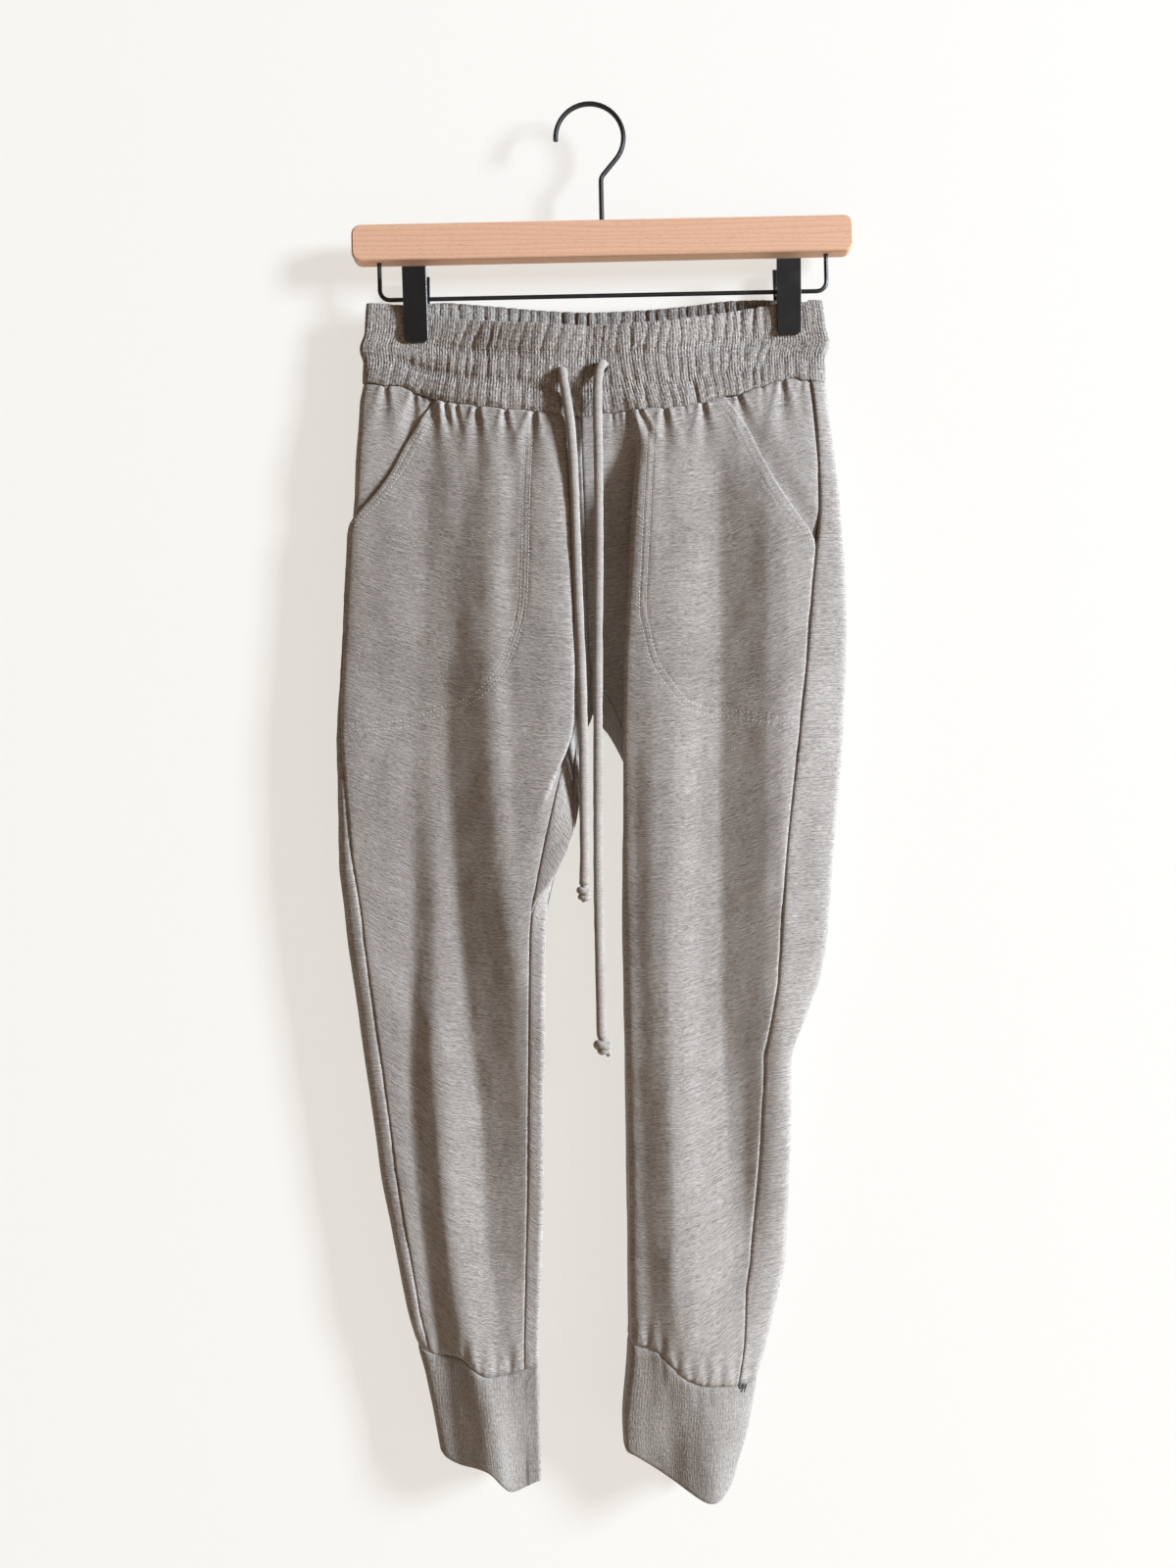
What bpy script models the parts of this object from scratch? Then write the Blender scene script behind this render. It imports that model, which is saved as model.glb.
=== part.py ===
"""Sweatpants on a clip hanger: the construction.

Frame: metres, +Z up. The origin is where the hanger's hook rests on what holds it, under the top of its arc.
The wearer's front faces -Y, so the wearer's right leg is on -X. Tables are in millimetres.
"""
import math

import bmesh
import bpy
import numpy as np
from mathutils import Matrix

MM = 0.001

# ---------------------------------------------------------------- driving sizes, mm
SEAM_GAP = 0.3              # between pieces that are sewn or rest together
CLOTH = 1.5                 # french terry wall
BAND_WALL = 2.6             # doubled waistband with its elastic
CUFF_WALL = 2.0             # doubled rib cuff
CORD_DIAMETER = 6.8         # drawstring, a tube of the same cloth

HANGER_TILT = 1.2           # degrees; the hook's seat is off its stem, so the bar hangs right side up
HOOK_WIRE = 3.8
HOOK_RADIUS = 26.0          # to the middle of the wire
HOOK_START, HOOK_END = 184.0, -42.0     # degrees round the arc, tip to neck
STEM_X = 7.2
BAR_SIZE = (382.0, 12.4, 27.9)
BAR_TOP = -89.3
BAR_CORNER = 7.0
SOCKET_DEPTH = 16.0         # wires go this far into the bar
RAIL_WIRE = 3.4
RAIL_HALF_SPAN = 170.8
RAIL_Z = -145.0
RAIL_CORNER = 7.5
CLIP_X = (-135.8, 147.8)    # the two clips on the rail
CLIP_TOP, CLIP_BOTTOM = -123.8, -179.8
CLIP_WIDTH = 18.4
JAW_WALL = 1.6
JAW_GRIP, JAW_SPREAD = 5.2, 10.2        # middle of the jaw plate from the middle of the clip, bottom and top
EAR_OUTER, EAR_INNER = 7.9, 6.0         # front jaw's and back jaw's ears, from the clip's middle
EAR_WALL = 1.2
KNUCKLE_RADIUS = 3.4
HALF_GRIP = 1.3             # each wall of the waistband lies this far from the middle where a clip holds it

# ---------------------------------------------------------------- the garment's sections, mm
# A half is the wearer's right or left side. Its section at any height runs from the centre front seam (the
# inseam, on a leg) behind the inner fold, round its edge, across the front, round the side and along the
# back to the centre back seam (the inseam again). Rows between the ones given are worked out smoothly.

FRONT_EDGE_COLUMNS = ("z", "seam_x", "seam_y", "root_x", "root_y", "edge_x", "edge_y", "turn")
FRONT_EDGE = {
    "right": (
        (-140, -2, -9, -10, -9.5, -18, -10, 0),
        (-215, -6, -13, -12, -13.5, -20, -14, 0),
        (-245, -7, -13, -13, -13, -19, -15, 1),
        (-275, -6, -10, -19, -8, -16, -21, 5),
        (-320, -4, -6, -20, -3, -14, -26, 8),
        (-423, 1, -4, -19, -1, -11, -30, 9),
        (-484, -14, -10, -18, -8, -11, -27, 7),
        (-550, -31, -21, -36, -23, -42, -25, 0),
        (-618, -45, -19, -50, -20, -57, -22, 0),
        (-820, -47, -17, -52, -18, -59, -19, 0),
        (-950, -50, -12, -55, -13, -62, -14, 0),
        (-1060, -47, -10, -52, -11, -59, -12, 0),
    ),
    "left": (
        (-140, -2, -9, 8, -9.5, 18, -10, 0),
        (-215, -6, -13, 10, -13.5, 24, -14, 0),
        (-245, -7, -13, 26, -12, 37, -15, 1),
        (-275, -6, -10, 41, -7, 35, -21, 5),
        (-320, -4, -6, 41, -2, 31, -26, 8),
        (-423, 1, -4, 34, 0, 25, -28, 9),
        (-484, 31, -4, 33, -8, 25, -27, 9),
        (-550, 31, -2, 29, -5, 25, -22, 10),
        (-590, 33, 2, 28, 0, 24.5, -20, 10),
        (-617, 37, 6, 28, 4, 24, -18, 11),
        (-820, 38, 7, 28, 6, 29, -12, 9),
        (-950, 36, 5, 29, 4, 31, -7, 6),
        (-1000, 33, 5, 24, 3, 25, -7, 5),
        (-1060, 36, 4, 30, 3, 32, -6, 4),
    ),
}

BACK_EDGE_COLUMNS = ("z", "root_x", "root_y", "lip_x", "lip_y", "seam_x", "seam_y")
BACK_EDGE = {
    "right": (
        (-140, -30, 10, -12, 10, -1, 10),
        (-245, -30, 11, -12, 10, -1, 9),
        (-320, -26, 13, -12, 9, -1, 7),
        (-424, -24, 13, -12, 10, 1, 9),
        (-484, -34, 13, -22, 12, -13, 8),
        (-550, -40, 12, -27, 11, -16, 4),
        (-583, -37, 10, -25, 7, -22, -3),
        (-617, -36, 10, -28, -10, -45, -19),
        (-660, -38, 10, -30, -13, -47, -18),
        (-820, -42, 9, -33, -12, -47, -17),
        (-950, -47, 7, -38, -8, -50, -12),
        (-1060, -44, 6, -35, -7, -47, -10),
    ),
    "left": (
        (-140, 30, 10, 12, 10, -1, 10),
        (-245, 30, 11, 12, 10, -1, 9),
        (-320, 26, 13, 12, 9, -1, 7),
        (-424, 28, 13, 14, 10, 1, 9),
        (-484, 50, 13, 43, 13, 36, 12),
        (-550, 54, 12, 48, 12, 42, 11),
        (-590, 53, 11, 46, 10, 40, 9),
        (-617, 52, 11, 45, 9, 37, 6),
        (-820, 54, 10, 46, 8, 38, 7),
        (-950, 52, 8, 44, 6, 36, 5),
        (-1060, 50, 6, 43, 5, 36, 4),
    ),
}

# How far each half reaches to its side, as hung.
SIDE_COLUMNS = ("z", "side_x")
SIDE = {
    "right": (
        (-140, -168), (-178, -173), (-195, -172), (-212, -172), (-225, -175), (-300, -179), (-325, -184),
        (-380, -187), (-484, -192), (-580, -190), (-640, -184), (-700, -175), (-820, -158), (-920, -137.5),
        (-970, -123.5), (-1010, -116), (-1060, -106),
    ),
    "left": (
        (-140, 175), (-178, 182), (-195, 178), (-212, 178), (-250, 181.5), (-313, 188), (-384, 192.5),
        (-430, 192.5), (-484, 190.5), (-560, 184), (-640, 177.5), (-664, 173), (-720, 151.5), (-790, 151),
        (-880, 148.5), (-935, 136), (-970, 126), (-1010, 119), (-1060, 104),
    ),
}

# The front's and back's middle planes, and where the side seam lies: this far in from the side, on the front.
GIRTH_COLUMNS = ("z", "front", "back", "seam_in")
GIRTH = {
    "right": (
        (-140, -10, 9, -3), (-215, -14, 10, -3), (-245, -16, 11, -3), (-320, -22, 12, -2), (-380, -24, 12, 0),
        (-484, -24, 12, 3), (-560, -23, 12, 9), (-620, -22, 12, 13.5), (-820, -19, 11, 12.5), (-950, -13, 8, 8),
        (-1060, -11, 6, 6),
    ),
    "left": (
        (-140, -10, 9, 11), (-215, -14, 10, 12), (-245, -16, 11, 12), (-320, -21, 12, 18), (-380, -23, 12, 29),
        (-484, -24, 12, 36), (-560, -24, 12, 38), (-650, -23, 12, 37), (-720, -22, 11, 21), (-820, -20, 10, 25),
        (-890, -19, 9, 29), (-950, -17, 8, 16), (-1060, -12, 6, 9),
    ),
}

# Largest folds. Each is a crest that the cloth climbs to over `rise_width` and falls from over `drop_width`,
# outward across the half. It starts at z_top, is full between z_full and z_fade and ends at z_end; its x is
# given at the heights of FOLD_STATIONS.
FOLD_STATIONS = (-230, -330, -430, -530, -640, -760, -880, -960, -1050)
FOLD_COLUMNS = ("name", "face", "x", "rise", "rise_width", "drop", "drop_width", "z_top", "z_full", "z_fade",
                "z_end")
FOLDS = {
    "right": (
        ("main pleat", "front", (-76, -73, -75, -70, -56, -47, -46, -46, -46), 9, 20, 17, 34,
         -235, -420, -700, -800),
        ("knee pleat", "front", (-125, -125, -124, -122, -118, -118, -106, -86, -67), 9, 16, 15, 16,
         -520, -680, -1060, -1100),
        ("back pleat", "back", (-90, -92, -95, -100, -105, -100, -92, -86, -80), 5, 20, 8, 26,
         -235, -420, -800, -950),
        ("back side pleat", "back", (-140, -142, -146, -150, -148, -135, -120, -110, -100), 4, 18, 6, 16,
         -300, -520, -900, -1000),
    ),
    "left": (
        ("outer pleat", "front", (141, 144, 150, 150, 150, 146, 140, 132, 124), 9, 40, 17, 10,
         -290, -440, -740, -860),
        ("inner roll", "front", (50, 50, 48, 48, 50, 56, 64, 78, 92), 6, 26, 9, 50,
         -560, -800, -1060, -1100),
        ("back pleat", "back", (84, 88, 92, 98, 100, 94, 88, 84, 80), 5, 20, 8, 26,
         -235, -420, -800, -950),
    ),
}

# Heights of the seams and edges that run round the garment, as (x, z); front and back differ at the waist.
BAND_TOP_FRONT = ((-180, -153), (-168, -152), (-136, -156), (-120, -159), (-61, -169), (0, -173),
                  (58, -168.5), (106, -160), (135, -153), (150, -150.5), (178, -149))
BAND_TOP_BACK = ((-180, -153), (-168, -152), (-136, -154.5), (-110, -152), (-61, -152), (0, -154.5),
                 (104, -149), (135, -148.5), (150, -149.5), (178, -149))
BAND_SEAM_FRONT = ((-180, -212), (-150, -215), (-120, -226), (-95, -233), (-58, -239), (0, -242), (50, -239),
                   (85, -233), (128, -220), (153, -213), (180, -212))
BAND_SEAM_BACK = ((-180, -212), (-120, -216), (0, -221), (120, -216), (180, -212))
CUFF_SEAM = {
    "right": ((-130, -948), (-95, -950), (-80, -953), (-60, -956), (-36, -956)),
    "left": ((24, -941), (50, -945), (70, -951), (88, -956), (110, -960), (132, -963)),
}
CUFF_HEM = {
    "right": ((-125, -1024), (-108, -1032), (-76, -1035), (-60, -1043), (-36, -1041)),
    "left": ((24, -1022), (34, -1027), (54, -1036), (86, -1048), (96, -1051), (110, -1042), (125, -1040)),
}

# Slant pocket openings: the front panel's cut edge from the waistband seam to the side seam, as (z, x).
POCKET_EDGE = {
    "right": ((-228, -118), (-245, -128), (-265, -140), (-288, -152), (-312, -172), (-327, -186)),
    "left": ((-226, 104), (-247, 118), (-277, 130), (-301, 143), (-333, 166), (-345, 182)),
}
POCKET_UNDERLAP = 16.0      # how far the facing runs in under the front panel
POCKET_LOWER = 6.0          # and how far below the opening
POCKET_SETBACK = 3.4        # middle to middle
POCKET_LEVEL = (8.0, 26.0)  # between these distances past the cut edge the facing comes level with the panel
POCKET_SHORT = (4.0, 28.0)  # it stops this far before the side seam, at its top and at its bottom

# Heights of the panels' rows between the waistband seam and the cuff seam. The gusset's front and back points
# and its two leg points are rows too, so that the panels and the gusset meet point to point.
GUSSET_TOP, GUSSET_TIP = -424, -617
ROWS = (-262, -286, -308, -322, -338, -365, -395, GUSSET_TOP, -454, -484, -517, -550, -583, GUSSET_TIP, -655, -690,
        -722, -760, -800, -840, -880, -915)
# How far the gusset hangs from midway between its front and back seams, as (x, y, z), for its rows from the
# right leg's point over the arch to the left leg's.
UNDER = ((0, 0, 0), (1, -1.5, -4), (4, -1, -13), (7, 0, -21), (4, 0, -26), (0, 0, -28),
         (0, 0, -33), (-1, 0, -28), (-2, 0, -26), (-3, 1, -18), (-2, 1, -9), (-1, 0, -3), (0, 0, 0))
TIP_SHARE = 0.85            # the gusset's points stop this far along the last row
GUSSET_COLUMNS = 7
GUSSET_MARGIN = 0.2         # most that a seam takes off each side of the gusset, as a share of its width

# The drawstring's two ends, from the buttonhole in the waistband down to the knot, as (x, y, z).
CORDS = {
    "right": ((-21, -16.0, -207), (-21, -22, -209), (-19.5, -28, -218), (-17, -32, -240), (-15, -34, -275),
              (-13.5, -35, -330), (-11, -36, -385), (-8, -36, -430), (-5.5, -35, -480), (-4.5, -34, -530),
              (-4, -33, -574), (-4.5, -32.5, -593)),
    "left": ((10.5, -15.6, -202), (9.5, -21, -204), (6, -25.5, -213), (5.5, -27, -240), (6.5, -27, -285),
             (6.5, -26, -340), (6, -25, -420), (6, -25, -500), (6, -25, -570), (7, -25, -640), (8.5, -25, -700),
             (9.5, -25, -707)),
}
CORD_STEP, BEND_STEP = 13.0, 4.0        # spacing of its points, and closer where it leaves the buttonhole
KNOT_SIZE = {"right": (10.0, 10.0, 15.0), "left": (13.5, 11.0, 13.5)}

LEVEL_STEP = 3.0            # dense sections are worked out this far apart
LEVELS = np.arange(-1068.0, -136.0, LEVEL_STEP)
PANEL_SAMPLES = 81          # points across each dense front or back
EDGE_SHARE = 0.15           # share across a dense front that the inner folded edge always has
SIDES = {"right": -1.0, "left": 1.0}
FACES = ("front", "back")
FRONT_SHARES = np.array((0.0, 0.05, 0.1, 0.13, EDGE_SHARE, 0.175, 0.22, 0.28, 0.35, 0.42, 0.49, 0.56, 0.63,
                         0.70, 0.77, 0.84, 0.91, 0.96, 1.0))
BACK_SHARES = np.linspace(0.0, 1.0, 13)
BAND_SHARES = np.linspace(0.0, 1.0, 18)
RING_ROWS = 5
SETTLING = 6                # passes that bring a grid's end rows onto their edge lines


# ---------------------------------------------------------------- scene and materials
def clear_scene():
    for obj in list(bpy.data.objects):
        bpy.data.objects.remove(obj, do_unlink=True)


def collection(name):
    made = bpy.data.collections.new(name)
    bpy.context.scene.collection.children.link(made)
    return made


def material(name, colour, roughness, metallic=0.0):
    made = bpy.data.materials.new(name)
    made.use_nodes = True
    shader = made.node_tree.nodes["Principled BSDF"]
    shader.inputs["Base Color"].default_value = (*colour, 1.0)
    shader.inputs["Roughness"].default_value = roughness
    shader.inputs["Metallic"].default_value = metallic
    return made


def add_object(name, data, where, finish, parent=None):
    obj = bpy.data.objects.new(name, data)
    where.objects.link(obj)
    obj.data.materials.append(finish)
    if parent:
        obj.parent = parent
    return obj


def mesh_from(name, build):
    """A mesh filled by build(bm), which works in millimetres."""
    bm = bmesh.new()
    build(bm)
    bmesh.ops.scale(bm, vec=(MM, MM, MM), verts=bm.verts)
    bmesh.ops.recalc_face_normals(bm, faces=bm.faces)
    if bm.calc_volume(signed=True) < 0.0:
        bmesh.ops.reverse_faces(bm, faces=bm.faces)
    mesh = bpy.data.meshes.new(name)
    bm.to_mesh(mesh)
    bm.free()
    mesh.set_sharp_from_angle(angle=math.radians(40))
    return mesh


# ---------------------------------------------------------------- smooth surfaces from the tables
def blurred(values, reach):
    """Values along the levels, softened over about `reach` mm, with the ends kept."""
    count = max(1, round(3 * reach / LEVEL_STEP))
    offsets = np.arange(-count, count + 1)
    weights = np.exp(-0.5 * (offsets * LEVEL_STEP / reach) ** 2)
    weights /= weights.sum()
    low = 2 * values[0] - values[count:0:-1]
    high = 2 * values[-1] - values[-2:-count - 2:-1]
    return np.convolve(np.concatenate([low, values, high]), weights, mode="valid")


def table_column(rows, columns, name, reach):
    ordered = sorted(rows, key=lambda row: row[0])
    heights = [row[0] for row in ordered]
    values = [row[columns.index(name)] for row in ordered]
    return blurred(np.interp(LEVELS, heights, values), reach)


def smoothstep(low, high, value):
    share = np.clip((value - low) / (high - low), 0.0, 1.0)
    return share * share * (3.0 - 2.0 * share)


def seam_line(side, face):
    """A panel's inner edge: the middle seam above the gusset, the gusset's edge, then the inseam."""
    tables = {"front": (FRONT_EDGE, FRONT_EDGE_COLUMNS), "back": (BACK_EDGE, BACK_EDGE_COLUMNS)}
    edges, columns = tables[face]
    spread = smoothstep(GUSSET_TOP, GUSSET_TOP - 30.0, LEVELS)
    line = {}
    for name in ("seam_x", "seam_y"):
        own = table_column(edges[side], columns, name, 14.0)
        middle = 0.5 * sum(table_column(edges[each], columns, name, 14.0) for each in SIDES)
        line[name] = middle + (own - middle) * spread
    if face == "back":
        joined = smoothstep(GUSSET_TIP + 30.0, GUSSET_TIP, LEVELS)
        ahead = seam_line(side, "front")
        line = {name: values + (ahead[name] - values) * joined for name, values in line.items()}
    return line


def control_polygons(side):
    """Corner points of each level's section, (levels, corners, 2); the section is tangent to their chain."""
    front = {name: table_column(FRONT_EDGE[side], FRONT_EDGE_COLUMNS, name, 14.0)
             for name in FRONT_EDGE_COLUMNS[1:]}
    back = {name: table_column(BACK_EDGE[side], BACK_EDGE_COLUMNS, name, 14.0)
            for name in BACK_EDGE_COLUMNS[1:]}
    front.update(seam_line(side, "front"))
    back.update(seam_line(side, "back"))
    girth = {name: table_column(GIRTH[side], GIRTH_COLUMNS, name, 14.0) for name in GIRTH_COLUMNS[1:]}
    side_x = table_column(SIDE[side], SIDE_COLUMNS, "side_x", 6.0)
    out = SIDES[side]
    across = side_x - front["edge_x"]
    corners = (
        (front["seam_x"], front["seam_y"]),
        (front["root_x"], front["root_y"]),
        (front["edge_x"], front["edge_y"] + front["turn"]),
        (front["edge_x"] + 1.5 * out, front["edge_y"]),
        (front["edge_x"] + 0.25 * across, girth["front"]),
        (front["edge_x"] + 0.55 * across, girth["front"]),
        (side_x - 16 * out, girth["front"]),
        (side_x, 0.55 * girth["front"]),
        (side_x, 0.5 * girth["back"]),
        (side_x - 18 * out, girth["back"]),
        (0.5 * back["root_x"] + 0.5 * side_x, girth["back"]),
        (back["root_x"], back["root_y"]),
        (back["lip_x"], back["lip_y"]),
        (back["seam_x"], back["seam_y"]),
    )
    return np.stack([np.stack(corner, axis=-1) for corner in corners], axis=1), girth, side_x


def rounded(chain, rounds=5):
    """Corner cutting: each round replaces a corner by two points; the chain's ends stay."""
    for _ in range(rounds):
        first, second = chain[:, :-1], chain[:, 1:]
        cut = np.stack([0.75 * first + 0.25 * second, 0.25 * first + 0.75 * second], axis=2)
        cut = cut.reshape(chain.shape[0], -1, 2)
        chain = np.concatenate([chain[:, :1], cut[:, 1:-1], chain[:, -1:]], axis=1)
    return chain


def fold_height(fold, outward, x, z):
    """How far one fold lifts the cloth off its middle plane at x on the levels z."""
    row = dict(zip(FOLD_COLUMNS, fold))
    stations = np.array(FOLD_STATIONS[::-1], dtype=float)
    crest = blurred(np.interp(LEVELS, stations, row["x"][::-1]), 20.0)
    past = (x - crest[:, None]) * outward
    climb = np.clip(1.0 + past / row["rise_width"], 0.0, 1.0)
    fall = np.clip(1.0 - past / row["drop_width"], 0.0, 1.0)
    climb = 2 * climb ** 2 - climb ** 3
    fall = 2 * fall ** 2 - fall ** 3
    height = np.where(past < 0, row["rise"] * climb, row["rise"] - row["drop"] * (1.0 - fall))
    along = smoothstep(row["z_top"], row["z_full"], z) * smoothstep(row["z_end"], row["z_fade"], z)
    return height * along[:, None]


def clip_pinch(x, z):
    """1 where a clip squeezes the waistband flat, falling off round it."""
    share = np.zeros_like(x)
    for clip in CLIP_X:
        centre = clip - RAIL_Z * math.tan(math.radians(HANGER_TILT))
        share = np.maximum(share, 1.0 - smoothstep(15.0, 34.0, np.abs(x - centre)))
    return share * smoothstep(-210.0, -188.0, z)[:, None]


def half_surface(side):
    """Dense front and back of one half: {"front": (levels, samples, 3), "back": ...}, in mm."""
    polygons, girth, side_x = control_polygons(side)
    outward = SIDES[side]
    chain = rounded(polygons)
    edges = polygons[:, 3]
    x, y = chain[..., 0], chain[..., 1]
    forward = (girth["back"][:, None] - y) / (girth["back"] - girth["front"])[:, None]
    on_front = smoothstep(0.55, 0.85, forward)
    on_back = smoothstep(0.4, 0.1, forward)
    lift = np.zeros_like(y)
    for fold in FOLDS[side]:
        height = fold_height(fold, outward, x, LEVELS)
        lift += -on_front * height if fold[1] == "front" else on_back * height
    y = y + lift
    pinch = clip_pinch(x, LEVELS)
    pinched = np.sign(y) * (0.5 * BAND_WALL + HALF_GRIP)
    y = y * (1.0 - pinch) + pinched * pinch * smoothstep(0.0, 2.0, np.abs(y))
    spots = [np.linalg.norm(chain[level] - edges[level], axis=1).argmin() for level in range(len(LEVELS))]

    halves = {"front": [], "back": []}
    for level, inset in enumerate(girth["seam_in"]):
        points = np.stack([x[level], y[level]], axis=-1)
        run = np.concatenate([[0.0], np.cumsum(np.linalg.norm(np.diff(points, axis=0), axis=1))])
        reach = (side_x[level] - points[:, 0]) * outward
        widest = int(np.argmin(reach + 0.01 * np.abs(points[:, 1])))
        near = slice(widest, None, -1) if inset >= 0 else slice(widest, None)
        seam = np.interp(abs(inset), np.maximum.accumulate(reach[near]), run[near])
        edge = run[spots[level]]
        shares = np.linspace(0.0, 1.0, PANEL_SAMPLES)
        for face, stops, ends in (("front", (0.0, EDGE_SHARE, 1.0), (0.0, edge, seam)),
                                  ("back", (0.0, 1.0), (seam, run[-1]))):
            at = np.interp(shares, stops, ends)
            halves[face].append(np.stack([np.interp(at, run, points[:, 0]), np.interp(at, run, points[:, 1]),
                                          np.full(PANEL_SAMPLES, LEVELS[level])], axis=-1))
    return with_normals({face: np.array(rows) for face, rows in halves.items()}, outward)


def with_normals(faces, outward):
    """Adds each point's outward normal; the two faces share it along their seams."""
    normals = {}
    for face, points in faces.items():
        along = np.gradient(points, axis=1)
        up = np.gradient(points, axis=0)
        normal = np.cross(along, up) * outward
        normals[face] = normal / np.linalg.norm(normal, axis=-1, keepdims=True)
    leg = LEVELS < GUSSET_TIP
    for front_at, back_at, levels in ((-1, 0, LEVELS < 0), (0, -1, leg)):
        shared = normals["front"][levels, front_at] + normals["back"][levels, back_at]
        shared /= np.linalg.norm(shared, axis=-1, keepdims=True)
        normals["front"][levels, front_at] = shared
        normals["back"][levels, back_at] = shared
    return {face: np.concatenate([faces[face], normals[face]], axis=-1) for face in FACES}


def sample(surface, share, z):
    """Points and normals (..., 6) at the share across a dense face and the height z."""
    level = np.clip((z - LEVELS[0]) / LEVEL_STEP, 0, len(LEVELS) - 1.001)
    column = np.clip(share * (PANEL_SAMPLES - 1), 0, PANEL_SAMPLES - 1.001)
    low, left = level.astype(int), column.astype(int)
    up, right = (level - low)[..., None], (column - left)[..., None]
    lower = surface[low, left] * (1 - right) + surface[low, left + 1] * right
    upper = surface[low + 1, left] * (1 - right) + surface[low + 1, left + 1] * right
    return lower * (1 - up) + upper * up


def edge_height(rows, x):
    """Height of a seam or edge line at x, with its corners eased over 10 mm each way."""
    spots, heights = zip(*rows)
    return sum(np.interp(x + step, spots, heights) for step in (-10.0, -5.0, 0.0, 5.0, 10.0)) / 5.0


def width_at(surface, z, column):
    """Length across a dense face at the heights z, were it as fast everywhere as at its first or last column."""
    first = {0: 0, -1: PANEL_SAMPLES - 4}[column]
    steps = np.linalg.norm(np.diff(surface[:, first:first + 4, :3], axis=1), axis=-1).mean(axis=1)
    return np.interp(z, LEVELS, steps * (PANEL_SAMPLES - 1))


def pocket_share(side, surface, z):
    """Share across the front where the pocket's cut edge runs; 1 below the opening."""
    rows = sorted(POCKET_EDGE[side])
    edge_x = np.interp(z, [row[0] for row in rows], [row[1] for row in rows])
    shares = np.linspace(0.0, 1.0, PANEL_SAMPLES)
    level = np.clip(np.round((z - LEVELS[0]) / LEVEL_STEP).astype(int), 0, len(LEVELS) - 1)
    crossing = [np.interp(x * SIDES[side], np.maximum.accumulate(surface[at, :, 0] * SIDES[side]), shares)
                for x, at in zip(edge_x.ravel(), level.ravel())]
    found = np.array(crossing).reshape(z.shape)
    return np.where(z < rows[0][0], 1.0, found)


# ---------------------------------------------------------------- solids from sheets
def sheet(bm, grid, wall, closed=False):
    """A wall of the given thickness on a (rows, columns, 6) grid of middle points and normals."""
    rows, columns = grid.shape[:2]
    skins = []
    for way in (0.5, -0.5):
        skins.append([[bm.verts.new(grid[r, c, :3] + grid[r, c, 3:] * wall * way) for c in range(columns)]
                      for r in range(rows)])
    steps = columns if closed else columns - 1
    outer, inner = skins
    for r in range(rows - 1):
        for c in range(steps):
            after = (c + 1) % columns
            bm.faces.new((outer[r][c], outer[r][after], outer[r + 1][after], outer[r + 1][c]))
            bm.faces.new((inner[r][c], inner[r + 1][c], inner[r + 1][after], inner[r][after]))
    for c in range(steps):
        after = (c + 1) % columns
        bm.faces.new((outer[0][c], inner[0][c], inner[0][after], outer[0][after]))
        bm.faces.new((outer[-1][c], outer[-1][after], inner[-1][after], inner[-1][c]))
    if not closed:
        for r in range(rows - 1):
            bm.faces.new((outer[r][0], outer[r + 1][0], inner[r + 1][0], inner[r][0]))
            bm.faces.new((outer[r][-1], inner[r][-1], inner[r + 1][-1], outer[r + 1][-1]))


def panel_grid(surface, shares, top, bottom, start, end):
    """Grid on a dense face between two edge lines, its columns at these shares between start(z) and end(z)."""
    across = shares[None, :]
    columns = len(shares)
    heights = np.repeat(np.array([ROWS[0], *ROWS, ROWS[-1]], dtype=float)[:, None], columns, axis=1)
    for _ in range(SETTLING):
        share = start(heights) + (end(heights) - start(heights)) * across
        grid = sample(surface, share, heights)
        heights[0] = top(grid[0, :, 0]) - SEAM_GAP / 2
        heights[-1] = bottom(grid[-1, :, 0]) + SEAM_GAP / 2
    return grid


def ring_grid(halves, parts, top, bottom):
    """Closed grid through several faces in turn, each taken forward or backward, between two edge lines."""
    pieces = []
    for side, face, ahead, shares in parts:
        shares = shares[:-1] if ahead else shares[:0:-1]
        surface = halves[side][face]
        heights = np.full((RING_ROWS, len(shares)), np.mean([top(face, 0.0), bottom(face, 0.0)]))
        for _ in range(SETTLING):
            grid = sample(surface, np.repeat(shares[None, :], RING_ROWS, axis=0), heights)
            down = np.linspace(0.0, 1.0, RING_ROWS)[:, None]
            heights = (1 - down) * top(face, grid[0, :, 0]) + down * bottom(face, grid[-1, :, 0])
        pieces.append(grid)
    return np.concatenate(pieces, axis=1)


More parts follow.
